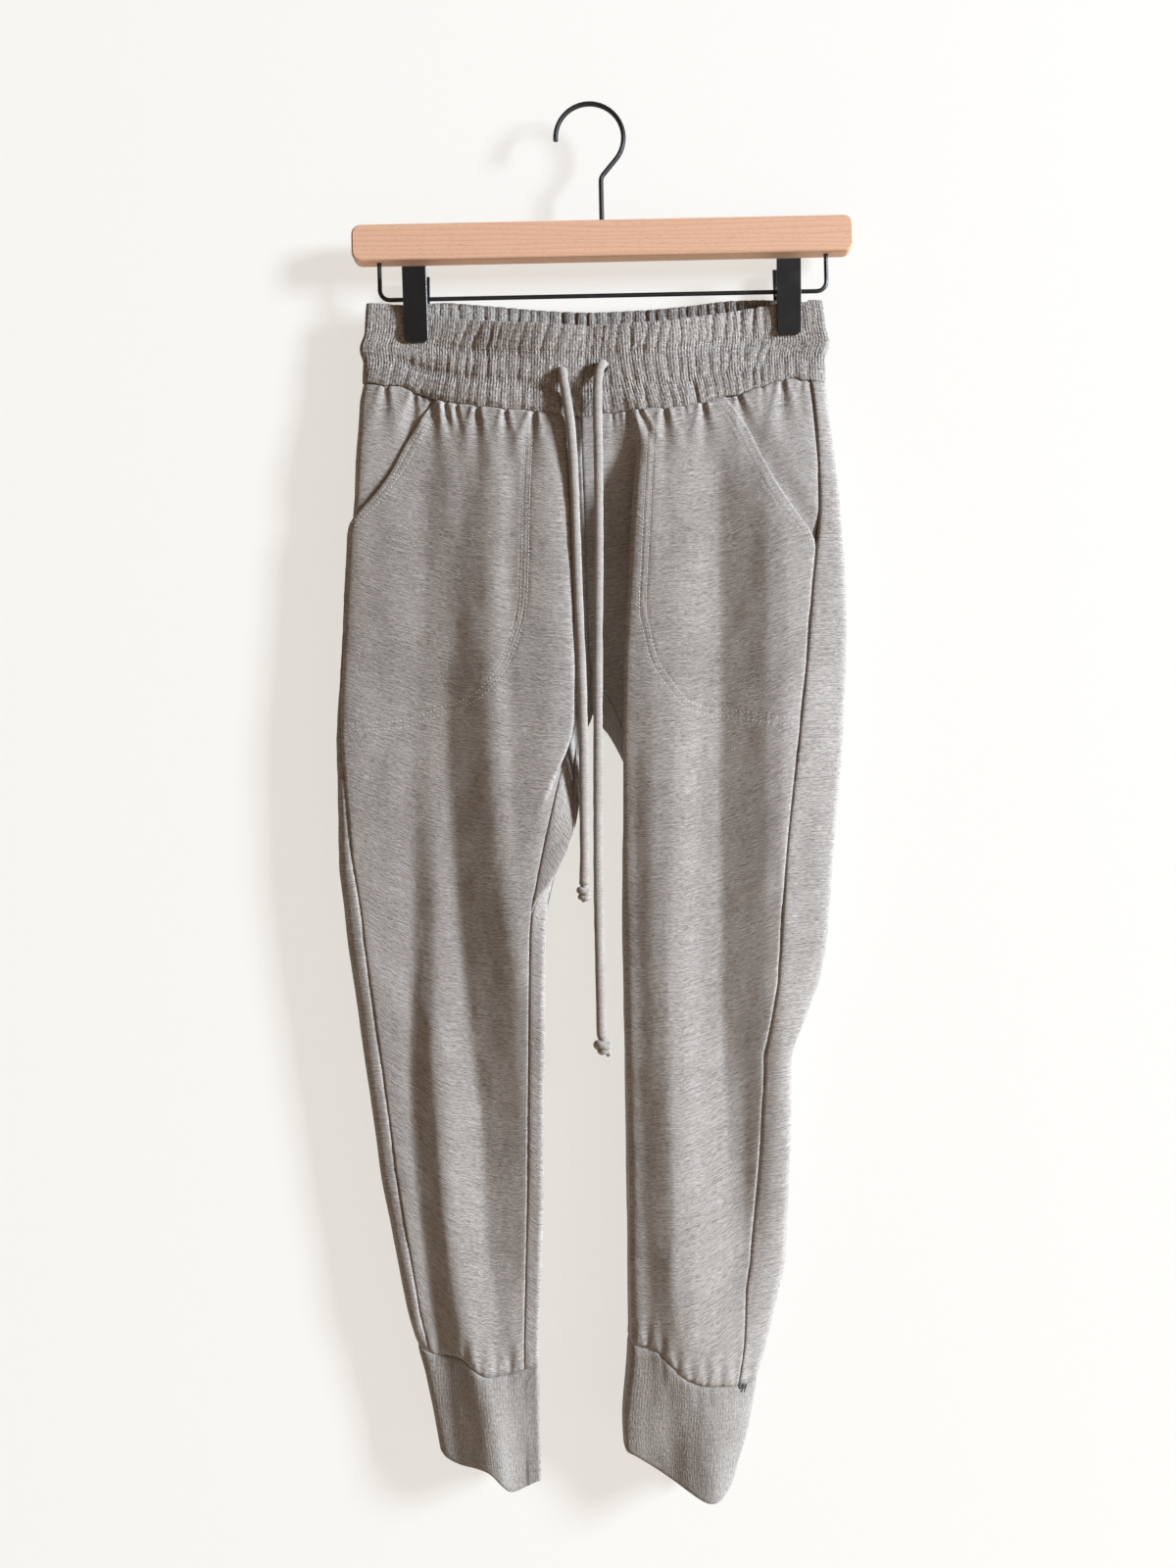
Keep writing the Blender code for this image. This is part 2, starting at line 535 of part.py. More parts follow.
def build_garment(halves, where, cloth, rib):
    panels = {}
    for side in SIDES:
        front, back = halves[side]["front"], halves[side]["back"]

        def inner(z, surface=front):
            return 0.5 * SEAM_GAP / width_at(surface, z, 0)

        def front_end(z, side=side, surface=front):
            return pocket_share(side, surface, z) - 0.5 * SEAM_GAP / width_at(surface, z, -1)

        def back_start(z, surface=back):
            return 0.5 * SEAM_GAP / width_at(surface, z, 0)

        def back_end(z, surface=back):
            return 1.0 - 0.5 * SEAM_GAP / width_at(surface, z, -1)

        def cuff_line(x, side=side):
            return edge_height(CUFF_SEAM[side], x)

        panels[side, "front"] = panel_grid(front, FRONT_SHARES, lambda x: edge_height(BAND_SEAM_FRONT, x),
                                           cuff_line, inner, front_end)
        panels[side, "back"] = panel_grid(back, BACK_SHARES, lambda x: edge_height(BAND_SEAM_BACK, x),
                                          cuff_line, back_start, back_end)
    for (side, face), grid in panels.items():
        name = f"{face}_{side}"
        add_object(name, mesh_from(name, lambda bm, grid=grid: sheet(bm, grid, CLOTH)), where, cloth)
    for side in SIDES:
        grid = pocket_grid(side, halves[side]["front"])
        name = f"pocket_{side}"
        add_object(name, mesh_from(name, lambda bm, grid=grid: sheet(bm, grid, CLOTH)), where, cloth)
    grid = gusset_grid(panels)
    add_object("gusset", mesh_from("gusset", lambda bm: sheet(bm, grid, CLOTH)), where, cloth)

    round_waist = (("right", "front", True, BAND_SHARES), ("right", "back", True, BAND_SHARES),
                   ("left", "back", False, BAND_SHARES), ("left", "front", False, BAND_SHARES))
    tops = {"front": BAND_TOP_FRONT, "back": BAND_TOP_BACK}
    seams = {"front": BAND_SEAM_FRONT, "back": BAND_SEAM_BACK}
    band = ring_grid(halves, round_waist, lambda face, x: edge_height(tops[face], x),
                     lambda face, x: edge_height(seams[face], x) + SEAM_GAP / 2)
    add_object("waistband", mesh_from("waistband", lambda bm: sheet(bm, band, BAND_WALL, closed=True)),
               where, rib)
    for side in SIDES:
        round_leg = ((side, "front", True, FRONT_SHARES), (side, "back", True, BACK_SHARES))
        cuff = ring_grid(halves, round_leg, lambda face, x, side=side: edge_height(CUFF_SEAM[side], x)
                         - SEAM_GAP / 2, lambda face, x, side=side: edge_height(CUFF_HEM[side], x))
        name = f"cuff_{side}"
        add_object(name, mesh_from(name, lambda bm, cuff=cuff: sheet(bm, cuff, CUFF_WALL, closed=True)),
                   where, rib)


def pocket_grid(side, front):
    """The facing behind a pocket's cut edge, set back under the front panel and level with it beyond."""
    low = min(row[0] for row in POCKET_EDGE[side]) - POCKET_LOWER
    rows = [z for z in ROWS if z > low + 4.0] + [low]
    columns = np.linspace(0.0, 1.0, 8)[None, :]
    heights = np.repeat(np.array([rows[0], *rows], dtype=float)[:, None], columns.shape[1], axis=1)
    for _ in range(SETTLING):
        width = width_at(front, heights, -1)
        cut = pocket_share(side, front, heights)
        lower = smoothstep(low + 50.0, low + 16.0, heights)
        end = 1.0 - (POCKET_SHORT[0] + (POCKET_SHORT[1] - POCKET_SHORT[0]) * lower) / width
        start = np.minimum(cut, end) - POCKET_UNDERLAP / width
        share = start + (end - start) * columns
        grid = sample(front, share, heights)
        heights[0] = edge_height(BAND_SEAM_FRONT, grid[0, :, 0]) - SEAM_GAP / 2
    beyond = (share - cut) * width
    back = POCKET_SETBACK * (1.0 - smoothstep(*POCKET_LEVEL, beyond))
    grid[..., :3] -= grid[..., 3:] * back[..., None]
    return grid


def gusset_grid(panels):
    """The diamond between the legs, on the panels' own edge points."""
    top = 1 + ROWS.index(GUSSET_TOP)
    tip = 1 + ROWS.index(GUSSET_TIP)
    chains = {}
    for face, column in (("front", 0), ("back", -1)):
        legs = {}
        for side in SIDES:
            chain = panels[side, face][top:tip + 1, column].copy()
            chain[-1] = chain[-2] + (chain[-1] - chain[-2]) * TIP_SHARE
            legs[side] = chain
        middle = 0.5 * (legs["right"][:1] + legs["left"][:1])
        chains[face] = np.concatenate([legs["right"][:0:-1], middle, legs["left"][1:]])
    first, last = chains["front"], chains["back"]
    middle = 0.5 * (first[:, :3] + last[:, :3])
    under = middle + np.array(UNDER, dtype=float)
    pull = 2.0 * under - middle
    length = np.linalg.norm(under - first[:, :3], axis=1) + np.linalg.norm(last[:, :3] - under, axis=1)
    margin = np.minimum(2.0 * SEAM_GAP / length, GUSSET_MARGIN)
    shares = margin[:, None] + (1.0 - 2.0 * margin[:, None]) * np.linspace(0.0, 1.0, GUSSET_COLUMNS)[None, :]
    share = shares[..., None]
    points = ((1 - share) ** 2 * first[:, None, :3] + 2 * share * (1 - share) * pull[:, None]
              + share ** 2 * last[:, None, :3])
    normal = np.cross(np.gradient(points, axis=0), np.gradient(points, axis=1))
    normal /= np.linalg.norm(normal, axis=-1, keepdims=True)
    arch = len(UNDER) // 2
    normal *= np.sign(np.sum(normal[arch, 0] * first[arch, 3:]))
    normal[:, 0], normal[:, -1] = first[:, 3:], last[:, 3:]
    for row in (0, -1):
        normal[row] = first[row, 3:] + last[row, 3:]
    normal /= np.linalg.norm(normal, axis=-1, keepdims=True)
    return np.concatenate([points, normal], axis=-1)


# ---------------------------------------------------------------- hanger
def wire(name, points, diameter, where, finish, parent=None, resolution=2):
    """A round wire through points in mm."""
    curve = bpy.data.curves.new(name, "CURVE")
    curve.dimensions = "3D"
    curve.bevel_depth = 0.5 * diameter * MM
    curve.bevel_resolution = resolution
    curve.use_fill_caps = True
    spline = curve.splines.new("POLY")
    spline.points.add(len(points) - 1)
    for spot, point in zip(spline.points, points):
        spot.co = (point[0] * MM, point[1] * MM, point[2] * MM, 1.0)
    spline.use_smooth = True
    return add_object(name, curve, where, finish, parent)


def arc(centre, radius, start, end, steps):
    """Points in the XZ plane round a centre, angles in degrees from +X towards +Z."""
    angles = np.radians(np.linspace(start, end, steps + 1))
    return [(centre[0] + radius * math.cos(a), 0.0, centre[1] + radius * math.sin(a)) for a in angles]


def hook_route():
    """The hook's arc, its straight neck and its stem down into the bar."""
    centre = (-0.9, 0.5 * HOOK_WIRE - HOOK_RADIUS)
    route = arc(centre, HOOK_RADIUS, HOOK_START, HOOK_END, 26)
    slope = math.radians(HOOK_END)
    bend = 8.0
    turn = math.pi / 2 + slope                      # the neck leans this far from the stem
    ease = bend * math.tan(0.5 * turn)
    end_x, end_z = route[-1][0], route[-1][2]
    run = (end_x - STEM_X) / -math.sin(slope)
    corner_z = end_z - run * math.cos(slope)
    middle = (STEM_X + bend, corner_z - ease)
    route += arc(middle, bend, 180.0 - math.degrees(turn), 180.0, 4)
    route.append((STEM_X, 0.0, BAR_TOP - SOCKET_DEPTH + SEAM_GAP))
    return route


def rail_route(middle):
    left, right = middle - RAIL_HALF_SPAN, middle + RAIL_HALF_SPAN
    top = BAR_TOP - BAR_SIZE[2] + SOCKET_DEPTH - SEAM_GAP
    low = RAIL_Z + RAIL_CORNER
    return ([(left, 0.0, top)] + arc((left + RAIL_CORNER, low), RAIL_CORNER, 180.0, 270.0, 5)
            + arc((right - RAIL_CORNER, low), RAIL_CORNER, 270.0, 360.0, 5) + [(right, 0.0, top)])


def cylinder(bm, radius, depth, middle, axis="Z", segments=16):
    turned = {"Z": Matrix.Identity(4), "X": Matrix.Rotation(math.pi / 2, 4, "Y"),
              "Y": Matrix.Rotation(math.pi / 2, 4, "X")}[axis]
    bmesh.ops.create_cone(bm, cap_ends=True, segments=segments, radius1=radius, radius2=radius, depth=depth,
                          matrix=Matrix.Translation(middle) @ turned)


def box(bm, size, middle):
    bmesh.ops.create_cube(bm, size=1.0, matrix=Matrix.Translation(middle) @ Matrix.Diagonal((*size, 1.0)))


def bevelled(bm, width, segments, edges=None):
    bmesh.ops.bevel(bm, geom=list(edges or bm.edges), offset=width, segments=segments, profile=0.5,
                    affect="EDGES")


def boolean(obj, cutter, operation):
    modifier = obj.modifiers.new(operation.lower(), "BOOLEAN")
    modifier.operation = operation
    modifier.object = cutter


def guide(name, build, cutters, parent):
    """A body that only cuts or joins others."""
    obj = bpy.data.objects.new(name, mesh_from(name, build))
    cutters.objects.link(obj)
    obj.hide_render = True
    obj.display_type = "WIRE"
    obj.parent = parent
    return obj


def build_bar(where, cutters, wood, hanger):
    """Flat wooden bar with round ends and eased edges, bored for the hook and the rail."""
    length, depth, height = BAR_SIZE
    middle_z = BAR_TOP - 0.5 * height

    def body(bm):
        box(bm, BAR_SIZE, (STEM_X, 0.0, middle_z))
        upright = [edge for edge in bm.edges
                   if abs(edge.verts[0].co.y - edge.verts[1].co.y) > 0.5 * depth]
        bevelled(bm, BAR_CORNER, 5, upright)
        faces = [face for face in bm.faces if abs(face.normal.y) > 0.9]
        bevelled(bm, 1.4, 2, {edge for face in faces for edge in face.edges})

    bar = add_object("wooden_bar", mesh_from("wooden_bar", body), where, wood, hanger)

    def sockets(bm):
        reach = SOCKET_DEPTH + 4.0
        cylinder(bm, 0.5 * HOOK_WIRE + SEAM_GAP, reach, (STEM_X, 0.0, BAR_TOP - SOCKET_DEPTH + 0.5 * reach))
        for way in (-1.0, 1.0):
            spot = (STEM_X + way * RAIL_HALF_SPAN, 0.0, BAR_TOP - height + SOCKET_DEPTH - 0.5 * reach)
            cylinder(bm, 0.5 * RAIL_WIRE + SEAM_GAP, reach, spot)

    boolean(bar, guide("bar_sockets", sockets, cutters, hanger), "DIFFERENCE")


def jaw_plate(bm, way):
    """One flat jaw, leaning so that it grips at the bottom; way is -1 in front and 1 behind."""
    height = CLIP_TOP - CLIP_BOTTOM
    box(bm, (CLIP_WIDTH, JAW_WALL, height), (0.0, 0.0, 0.0))
    low_corners = [edge for edge in bm.edges
                   if abs(edge.verts[0].co.y - edge.verts[1].co.y) > 0.5 * JAW_WALL
                   and edge.verts[0].co.z < 0.0]
    bevelled(bm, 2.6, 1, low_corners)
    outside = [face for face in bm.faces if face.normal.y * way > 0.9]
    bevelled(bm, 0.5, 1, {edge for face in outside for edge in face.edges})
    lean = math.atan2(JAW_SPREAD - JAW_GRIP, height)
    bmesh.ops.rotate(bm, verts=bm.verts, cent=(0, 0, 0), matrix=Matrix.Rotation(-way * lean, 3, "X"))
    bmesh.ops.translate(bm, verts=bm.verts,
                        vec=(0.0, way * 0.5 * (JAW_SPREAD + JAW_GRIP), 0.5 * (CLIP_TOP + CLIP_BOTTOM)))


def build_clip(side, x, where, cutters, metal, spring_metal, hanger):
    """Two leaning jaws whose ears turn on the rail, and the spring coiled round it between them."""
    clip = bpy.data.objects.new(f"clip_{side}", None)
    where.objects.link(clip)
    clip.parent = hanger
    clip.location = (x * MM, 0.0, 0.0)
    radius = KNUCKLE_RADIUS
    for name, way, ear_x in (("front", -1.0, EAR_OUTER), ("back", 1.0, EAR_INNER)):
        reach = 0.5 * (JAW_SPREAD + JAW_GRIP)

        def ears(bm, way=way, ear_x=ear_x, reach=reach):
            for hand in (-1.0, 1.0):
                box(bm, (EAR_WALL, reach, 2.0 * radius), (hand * ear_x, 0.5 * way * reach, RAIL_Z))
        def knuckles(bm, ear_x=ear_x):
            for hand in (-1.0, 1.0):
                cylinder(bm, radius, EAR_WALL, (hand * ear_x, 0.0, RAIL_Z), "X", 14)
        jaw = add_object(f"clip_{side}_jaw_{name}",
                         mesh_from("jaw", lambda bm, way=way: jaw_plate(bm, way)), where, metal, clip)
        boolean(jaw, guide(f"ears_{side}_{name}", ears, cutters, clip), "UNION")
        boolean(jaw, guide(f"knuckles_{side}_{name}", knuckles, cutters, clip), "UNION")
        bore = guide(f"bore_{side}_{name}",
                     lambda bm: cylinder(bm, 0.5 * RAIL_WIRE + SEAM_GAP, 30.0, (0, 0, RAIL_Z), "X", 14),
                     cutters, clip)
        boolean(jaw, bore, "DIFFERENCE")

    def spring(bm):
        cylinder(bm, KNUCKLE_RADIUS, 2.0 * (EAR_INNER - 0.5 * EAR_WALL - SEAM_GAP), (0, 0, RAIL_Z), "X", 14)
    coil = add_object(f"clip_{side}_spring", mesh_from("spring", spring), where, spring_metal, clip)
    boolean(coil, guide(f"spring_bore_{side}",
                        lambda bm: cylinder(bm, 0.5 * RAIL_WIRE + SEAM_GAP, 30.0, (0, 0, RAIL_Z), "X", 14),
                        cutters, clip), "DIFFERENCE")


def build_hanger(where, cutters, wood, black, spring_metal):
    hanger = bpy.data.objects.new("hanger_tilt", None)
    where.objects.link(hanger)
    hanger.rotation_euler = (0.0, -math.radians(HANGER_TILT), 0.0)
    wire("hook", hook_route(), HOOK_WIRE, where, black, hanger)
    wire("clip_rail", rail_route(STEM_X), RAIL_WIRE, where, black, hanger)
    build_bar(where, cutters, wood, hanger)
    for side, x in zip(("right", "left"), CLIP_X):
        build_clip(side, x, where, cutters, black, spring_metal, hanger)


# ---------------------------------------------------------------- drawstring
def smooth_route(points, spacing):
    """Even points along a smooth curve through a route's own points."""
    route = np.array(points, dtype=float)
    padded = np.vstack([2 * route[0] - route[1], route, 2 * route[-1] - route[-2]])
    dense = []
    for a, b, c, d in zip(padded, padded[1:], padded[2:], padded[3:]):
        for t in np.linspace(0.0, 1.0, 24, endpoint=False):
            dense.append(0.5 * (2 * b + (c - a) * t + (2 * a - 5 * b + 4 * c - d) * t ** 2
                                + (3 * b - a - 3 * c + d) * t ** 3))
    dense = np.array(dense + [route[-1]])
    run = np.concatenate([[0.0], np.cumsum(np.linalg.norm(np.diff(dense, axis=0), axis=1))])
    at = np.linspace(0.0, run[-1], max(2, round(run[-1] / spacing)) + 1)
    return np.stack([np.interp(at, run, dense[:, axis]) for axis in range(3)], axis=-1)


def build_cords(where, cloth):
    for side, route in CORDS.items():
        points = smooth_route(route, CORD_STEP)
        start = smooth_route(route[:3], BEND_STEP)
        points = np.vstack([start, points[np.linalg.norm(points - start[-1], axis=1).argmin() + 1:]])
        wire(f"drawstring_{side}", [tuple(point) for point in points], CORD_DIAMETER, where, cloth, None, 2)
        size = KNOT_SIZE[side]
        end = np.array(route[-1], dtype=float)

        def knot(bm, size=size, end=end):
            middle = end - np.array((0.0, 0.0, 0.5 * size[2] + 1.5 * SEAM_GAP))
            bmesh.ops.create_uvsphere(bm, u_segments=14, v_segments=9, radius=0.5,
                                      matrix=Matrix.Translation(middle) @ Matrix.Diagonal((*size, 1.0)))
        add_object(f"knot_{side}", mesh_from("knot", knot), where, cloth)


def main():
    clear_scene()
    where = collection("sweatpants_on_clip_hanger")
    cutters = collection("cutters")
    cloth = material("heather_grey_terry", (0.36, 0.34, 0.33), 0.95)
    rib = material("heather_grey_rib", (0.33, 0.31, 0.30), 0.95)
    wood = material("beech", (0.72, 0.46, 0.32), 0.45)
    black = material("black_powder_coat", (0.012, 0.012, 0.013), 0.4)
    spring_metal = material("dark_spring_steel", (0.10, 0.10, 0.11), 0.35, 1.0)
    build_hanger(where, cutters, wood, black, spring_metal)
    halves = {side: half_surface(side) for side in SIDES}
    build_garment(halves, where, cloth, rib)
    build_cords(where, cloth)


main()
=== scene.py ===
"""Sweatpants on a clip hanger: the finished look.

Frame: metres, +Z up, with the origin where the hook rests. The wearer's front faces -Y, so the wearer's
right leg is on -X. Tables are in millimetres.
"""
import functools
import math

import bmesh
import bpy
import numpy as np
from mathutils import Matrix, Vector


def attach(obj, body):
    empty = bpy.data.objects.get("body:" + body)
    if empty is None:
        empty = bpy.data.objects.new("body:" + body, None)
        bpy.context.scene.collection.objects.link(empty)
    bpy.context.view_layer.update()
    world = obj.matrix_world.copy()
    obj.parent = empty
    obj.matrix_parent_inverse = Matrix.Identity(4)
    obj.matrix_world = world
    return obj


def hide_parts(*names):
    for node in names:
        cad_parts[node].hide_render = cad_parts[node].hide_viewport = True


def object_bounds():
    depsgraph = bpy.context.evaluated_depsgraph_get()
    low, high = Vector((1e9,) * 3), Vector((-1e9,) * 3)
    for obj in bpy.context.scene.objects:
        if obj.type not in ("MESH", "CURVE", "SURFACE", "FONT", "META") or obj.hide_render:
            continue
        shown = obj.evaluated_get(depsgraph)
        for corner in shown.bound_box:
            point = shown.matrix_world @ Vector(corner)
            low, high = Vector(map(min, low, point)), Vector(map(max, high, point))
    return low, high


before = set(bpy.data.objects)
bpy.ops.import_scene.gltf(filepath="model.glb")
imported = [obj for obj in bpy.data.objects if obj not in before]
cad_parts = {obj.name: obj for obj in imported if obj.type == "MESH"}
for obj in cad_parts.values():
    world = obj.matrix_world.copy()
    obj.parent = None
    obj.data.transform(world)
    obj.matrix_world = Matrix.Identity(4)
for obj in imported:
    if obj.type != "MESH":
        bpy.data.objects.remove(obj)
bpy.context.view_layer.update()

# ================================================================ camera
# A phone held level, at chest height in front of the hanging trousers.
eye = bpy.data.cameras.new("eye")
eye.sensor_fit = "VERTICAL"
eye.sensor_height = 36.0
eye.lens = 27.04
eye.clip_start, eye.clip_end = 0.05, 20.0
camera = bpy.data.objects.new("camera", eye)
camera.location = (-0.0015, -0.901, -0.5184)
camera.rotation_euler = (math.radians(90.0), 0.0, 0.0)
bpy.context.scene.collection.objects.link(camera)
bpy.context.scene.camera = camera


# ================================================================ drawstring
# One narrow tube of the trousers' own cloth, stitched shut along its length. It runs in the waistband's
# middle channel and comes out of two slits; each end hangs free and is tied in a knot.
MM = 0.001


def node(tree, kind, sockets=None, **settings):
    """A shader or geometry node, its settings as words and its input values by name or number."""
    made = tree.nodes.new(kind)
    for word, value in settings.items():
        setattr(made, word, value)
    for word, value in (sockets or {}).items():
        if isinstance(value, bpy.types.NodeSocket):
            tree.links.new(value, made.inputs[word])
        else:
            made.inputs[word].default_value = value
    return made


def start_material(name, roughness, sheen=0.0, metallic=0.0, specular=0.3):
    """A new material, its node tree and its shader."""
    made = bpy.data.materials.new(name)
    made.use_nodes = True
    shader = made.node_tree.nodes["Principled BSDF"]
    shader.inputs["Roughness"].default_value = roughness
    shader.inputs["Metallic"].default_value = metallic
    shader.inputs["Specular IOR Level"].default_value = specular
    shader.inputs["Sheen Weight"].default_value = sheen
    shader.inputs["Sheen Roughness"].default_value = 0.5
    return made, made.node_tree, shader


def maths(tree, operation, *values, clamp=False):
    """One sum on values and sockets."""
    return node(tree, "ShaderNodeMath", dict(enumerate(values)), operation=operation,
                use_clamp=clamp).outputs[0]


def noise(tree, place, scale, detail, roughness=0.5):
    """Cloudy values of about 0.3 to 0.7 at a place, finer with a larger scale."""
    return node(tree, "ShaderNodeTexNoise", {"Vector": place, "Scale": scale, "Detail": detail,
                                             "Roughness": roughness}).outputs[0]


def stretched(tree, place, scale, shift=(0.0, 0.0, 0.0)):
    """A place scaled along each axis, then moved."""
    return node(tree, "ShaderNodeMapping", {"Vector": place, "Location": shift, "Scale": scale}).outputs[0]


def ranged(tree, value, low, high, start, end):
    """A value's place between low and high, turned into one between start and end."""
    return node(tree, "ShaderNodeMapRange", {"Value": value, "From Min": low, "From Max": high,
                                             "To Min": start, "To Max": end}).outputs[0]


def blended(tree, share, first, second):
    """From the first colour to the second by a share. Each is a colour's three parts or a socket."""
    mixed = node(tree, "ShaderNodeMix", {"Factor": share}, data_type="RGBA")
    for word, colour in (("A", first), ("B", second)):
        if isinstance(colour, bpy.types.NodeSocket):
            tree.links.new(colour, mixed.inputs[word])
        else:
            mixed.inputs[word].default_value = (*colour, 1.0)
    return mixed.outputs["Result"]


def roughen(tree, shader, height, strength, distance):
    """Fine relief that only the light sees, `distance` metres high."""
    bump = node(tree, "ShaderNodeBump", {"Height": height, "Strength": strength, "Distance": distance})
    tree.links.new(bump.outputs[0], shader.inputs["Normal"])


def heather(name, dark, light, marl, streak, fleck, relief, wale=0.0, rows=()):
    """Melange knit on a piece's cloth UV, whose unit is the metre: u along the courses, v up the wales.

    `dark` and `light` are its yarn colours. `marl` is how strongly short lengths of yarn differ, `streak` how
    strongly whole courses do, `fleck` how many pale fibres lie on top, `relief` the loops' height in mm and
    `wale` how strongly a rib's upright lines show. `rows` are heights in mm where needle rows crinkle it.
    """
    made, tree, shader = start_material(name, roughness=0.95, sheen=0.06, specular=0.05)
    cloth = node(tree, "ShaderNodeUVMap", uv_map="cloth").outputs[0]

    def grain(across, up, detail, shift):
        place = stretched(tree, cloth, (across, up, 1.0), (shift, 0.7 * shift, 0.0))
        return noise(tree, place, 1.0, detail, 0.6)

    def weighed(parts):
        """The sum of the grains, each less its mean of a half, by its weight."""
        steps = [maths(tree, "MULTIPLY_ADD", value, weight, -0.5 * weight) for weight, value in parts]
        return functools.reduce(lambda total, step: maths(tree, "ADD", total, step), steps)

    dash = grain(560.0, 360.0, 2.0, 7.7) if wale else grain(230.0, 1100.0, 2.0, 7.7)
    fibre = grain(1300.0, 1500.0, 1.0, 3.1)
    slub = grain(45.0, 700.0, 3.0, 1.3)
    cloud = grain(13.0, 19.0, 2.0, 9.2)
    tones = [(2.4 * marl, dash), (1.2 * marl, fibre), (2.2 * streak, slub), (0.5, cloud)]
    raised = [(1.0, dash), (0.5, fibre), (0.6, slub)]
    if wale:
        lines = node(tree, "ShaderNodeTexWave",
                     {"Vector": cloth, "Scale": 145.0, "Distortion": 2.2, "Detail": 2.0,
                      "Detail Scale": 2.2, "Detail Roughness": 0.6}).outputs[0]
        depth = maths(tree, "ADD", lines, -0.5)
        height = node(tree, "ShaderNodeSeparateXYZ", {0: cloth}).outputs["Y"]
        away = [maths(tree, "ABSOLUTE", maths(tree, "ADD", height, -row * MM)) for row in rows]
        near = [ranged(tree, distance, 0.0008, 0.0032, 1.0, 0.0) for distance in away]
        if near:
            on_row = functools.reduce(lambda one, other: maths(tree, "MAXIMUM", one, other), near)
            depth = maths(tree, "MULTIPLY", depth, maths(tree, "MULTIPLY_ADD", on_row, 1.6, 1.0))
        lines = maths(tree, "ADD", depth, 0.5)
        tones.append((wale, lines))
        raised.append((1.3 * wale, lines))
    yarn = blended(tree, maths(tree, "ADD", weighed(tones), 0.5, clamp=True), dark, light)
    pale = ranged(tree, grain(800.0, 700.0, 1.0, 13.0), 0.68 - 0.1 * fleck, 0.76 - 0.1 * fleck, 0.0,
                  0.8 * min(1.0, fleck))
    flecked = blended(tree, pale, yarn, [min(1.0, 1.35 * part + 0.05) for part in light])
    tree.links.new(flecked, shader.inputs["Base Color"])
    roughen(tree, shader, weighed(raised), 0.8, relief * MM)
    return made


terry = heather("heather_grey_terry", (0.160, 0.143, 0.129), (0.395, 0.365, 0.339), 0.8, 0.62, 0.25, 0.6)
cord_knit = heather("heather_grey_cord", (0.150, 0.134, 0.120), (0.375, 0.343, 0.316), 0.5, 0.3, 0.2, 0.4)


def smooth_route(points, spacing):
    """Even points along a smooth curve through a route's own points."""
    route = np.array(points, dtype=float)
    padded = np.vstack([2 * route[0] - route[1], route, 2 * route[-1] - route[-2]])
    dense = []
    for a, b, c, d in zip(padded, padded[1:], padded[2:], padded[3:]):
        for t in np.linspace(0.0, 1.0, 24, endpoint=False):
            dense.append(0.5 * (2 * b + (c - a) * t + (2 * a - 5 * b + 4 * c - d) * t ** 2
                                + (3 * b - a - 3 * c + d) * t ** 3))
    dense = np.array(dense + [route[-1]])
    run = np.concatenate([[0.0], np.cumsum(np.linalg.norm(np.diff(dense, axis=0), axis=1))])
    at = np.linspace(0.0, run[-1], max(2, round(run[-1] / spacing)) + 1)
    return np.stack([np.interp(at, run, dense[:, axis]) for axis in range(3)], axis=-1)


def finish_mesh(name, verts, faces, uv=None, finish=None):
    """A smooth mesh object from arrays in mm, with its cloth UV in metres."""
    mesh = bpy.data.meshes.new(name)
    mesh.from_pydata((np.asarray(verts) * MM).tolist(), [], [[int(at) for at in face] for face in faces])
    mesh.polygons.foreach_set("use_smooth", np.ones(len(mesh.polygons), dtype=bool))
    if uv is not None:
        corners = np.empty(len(mesh.loops), dtype=int)
        mesh.loops.foreach_get("vertex_index", corners)
        layer = mesh.uv_layers.new(name="cloth")
        layer.data.foreach_set("uv", (np.asarray(uv) * MM)[corners].ravel())
    if finish:
        mesh.materials.append(finish)
    obj = bpy.data.objects.new(name, mesh)
    bpy.context.scene.collection.objects.link(obj)
    return obj


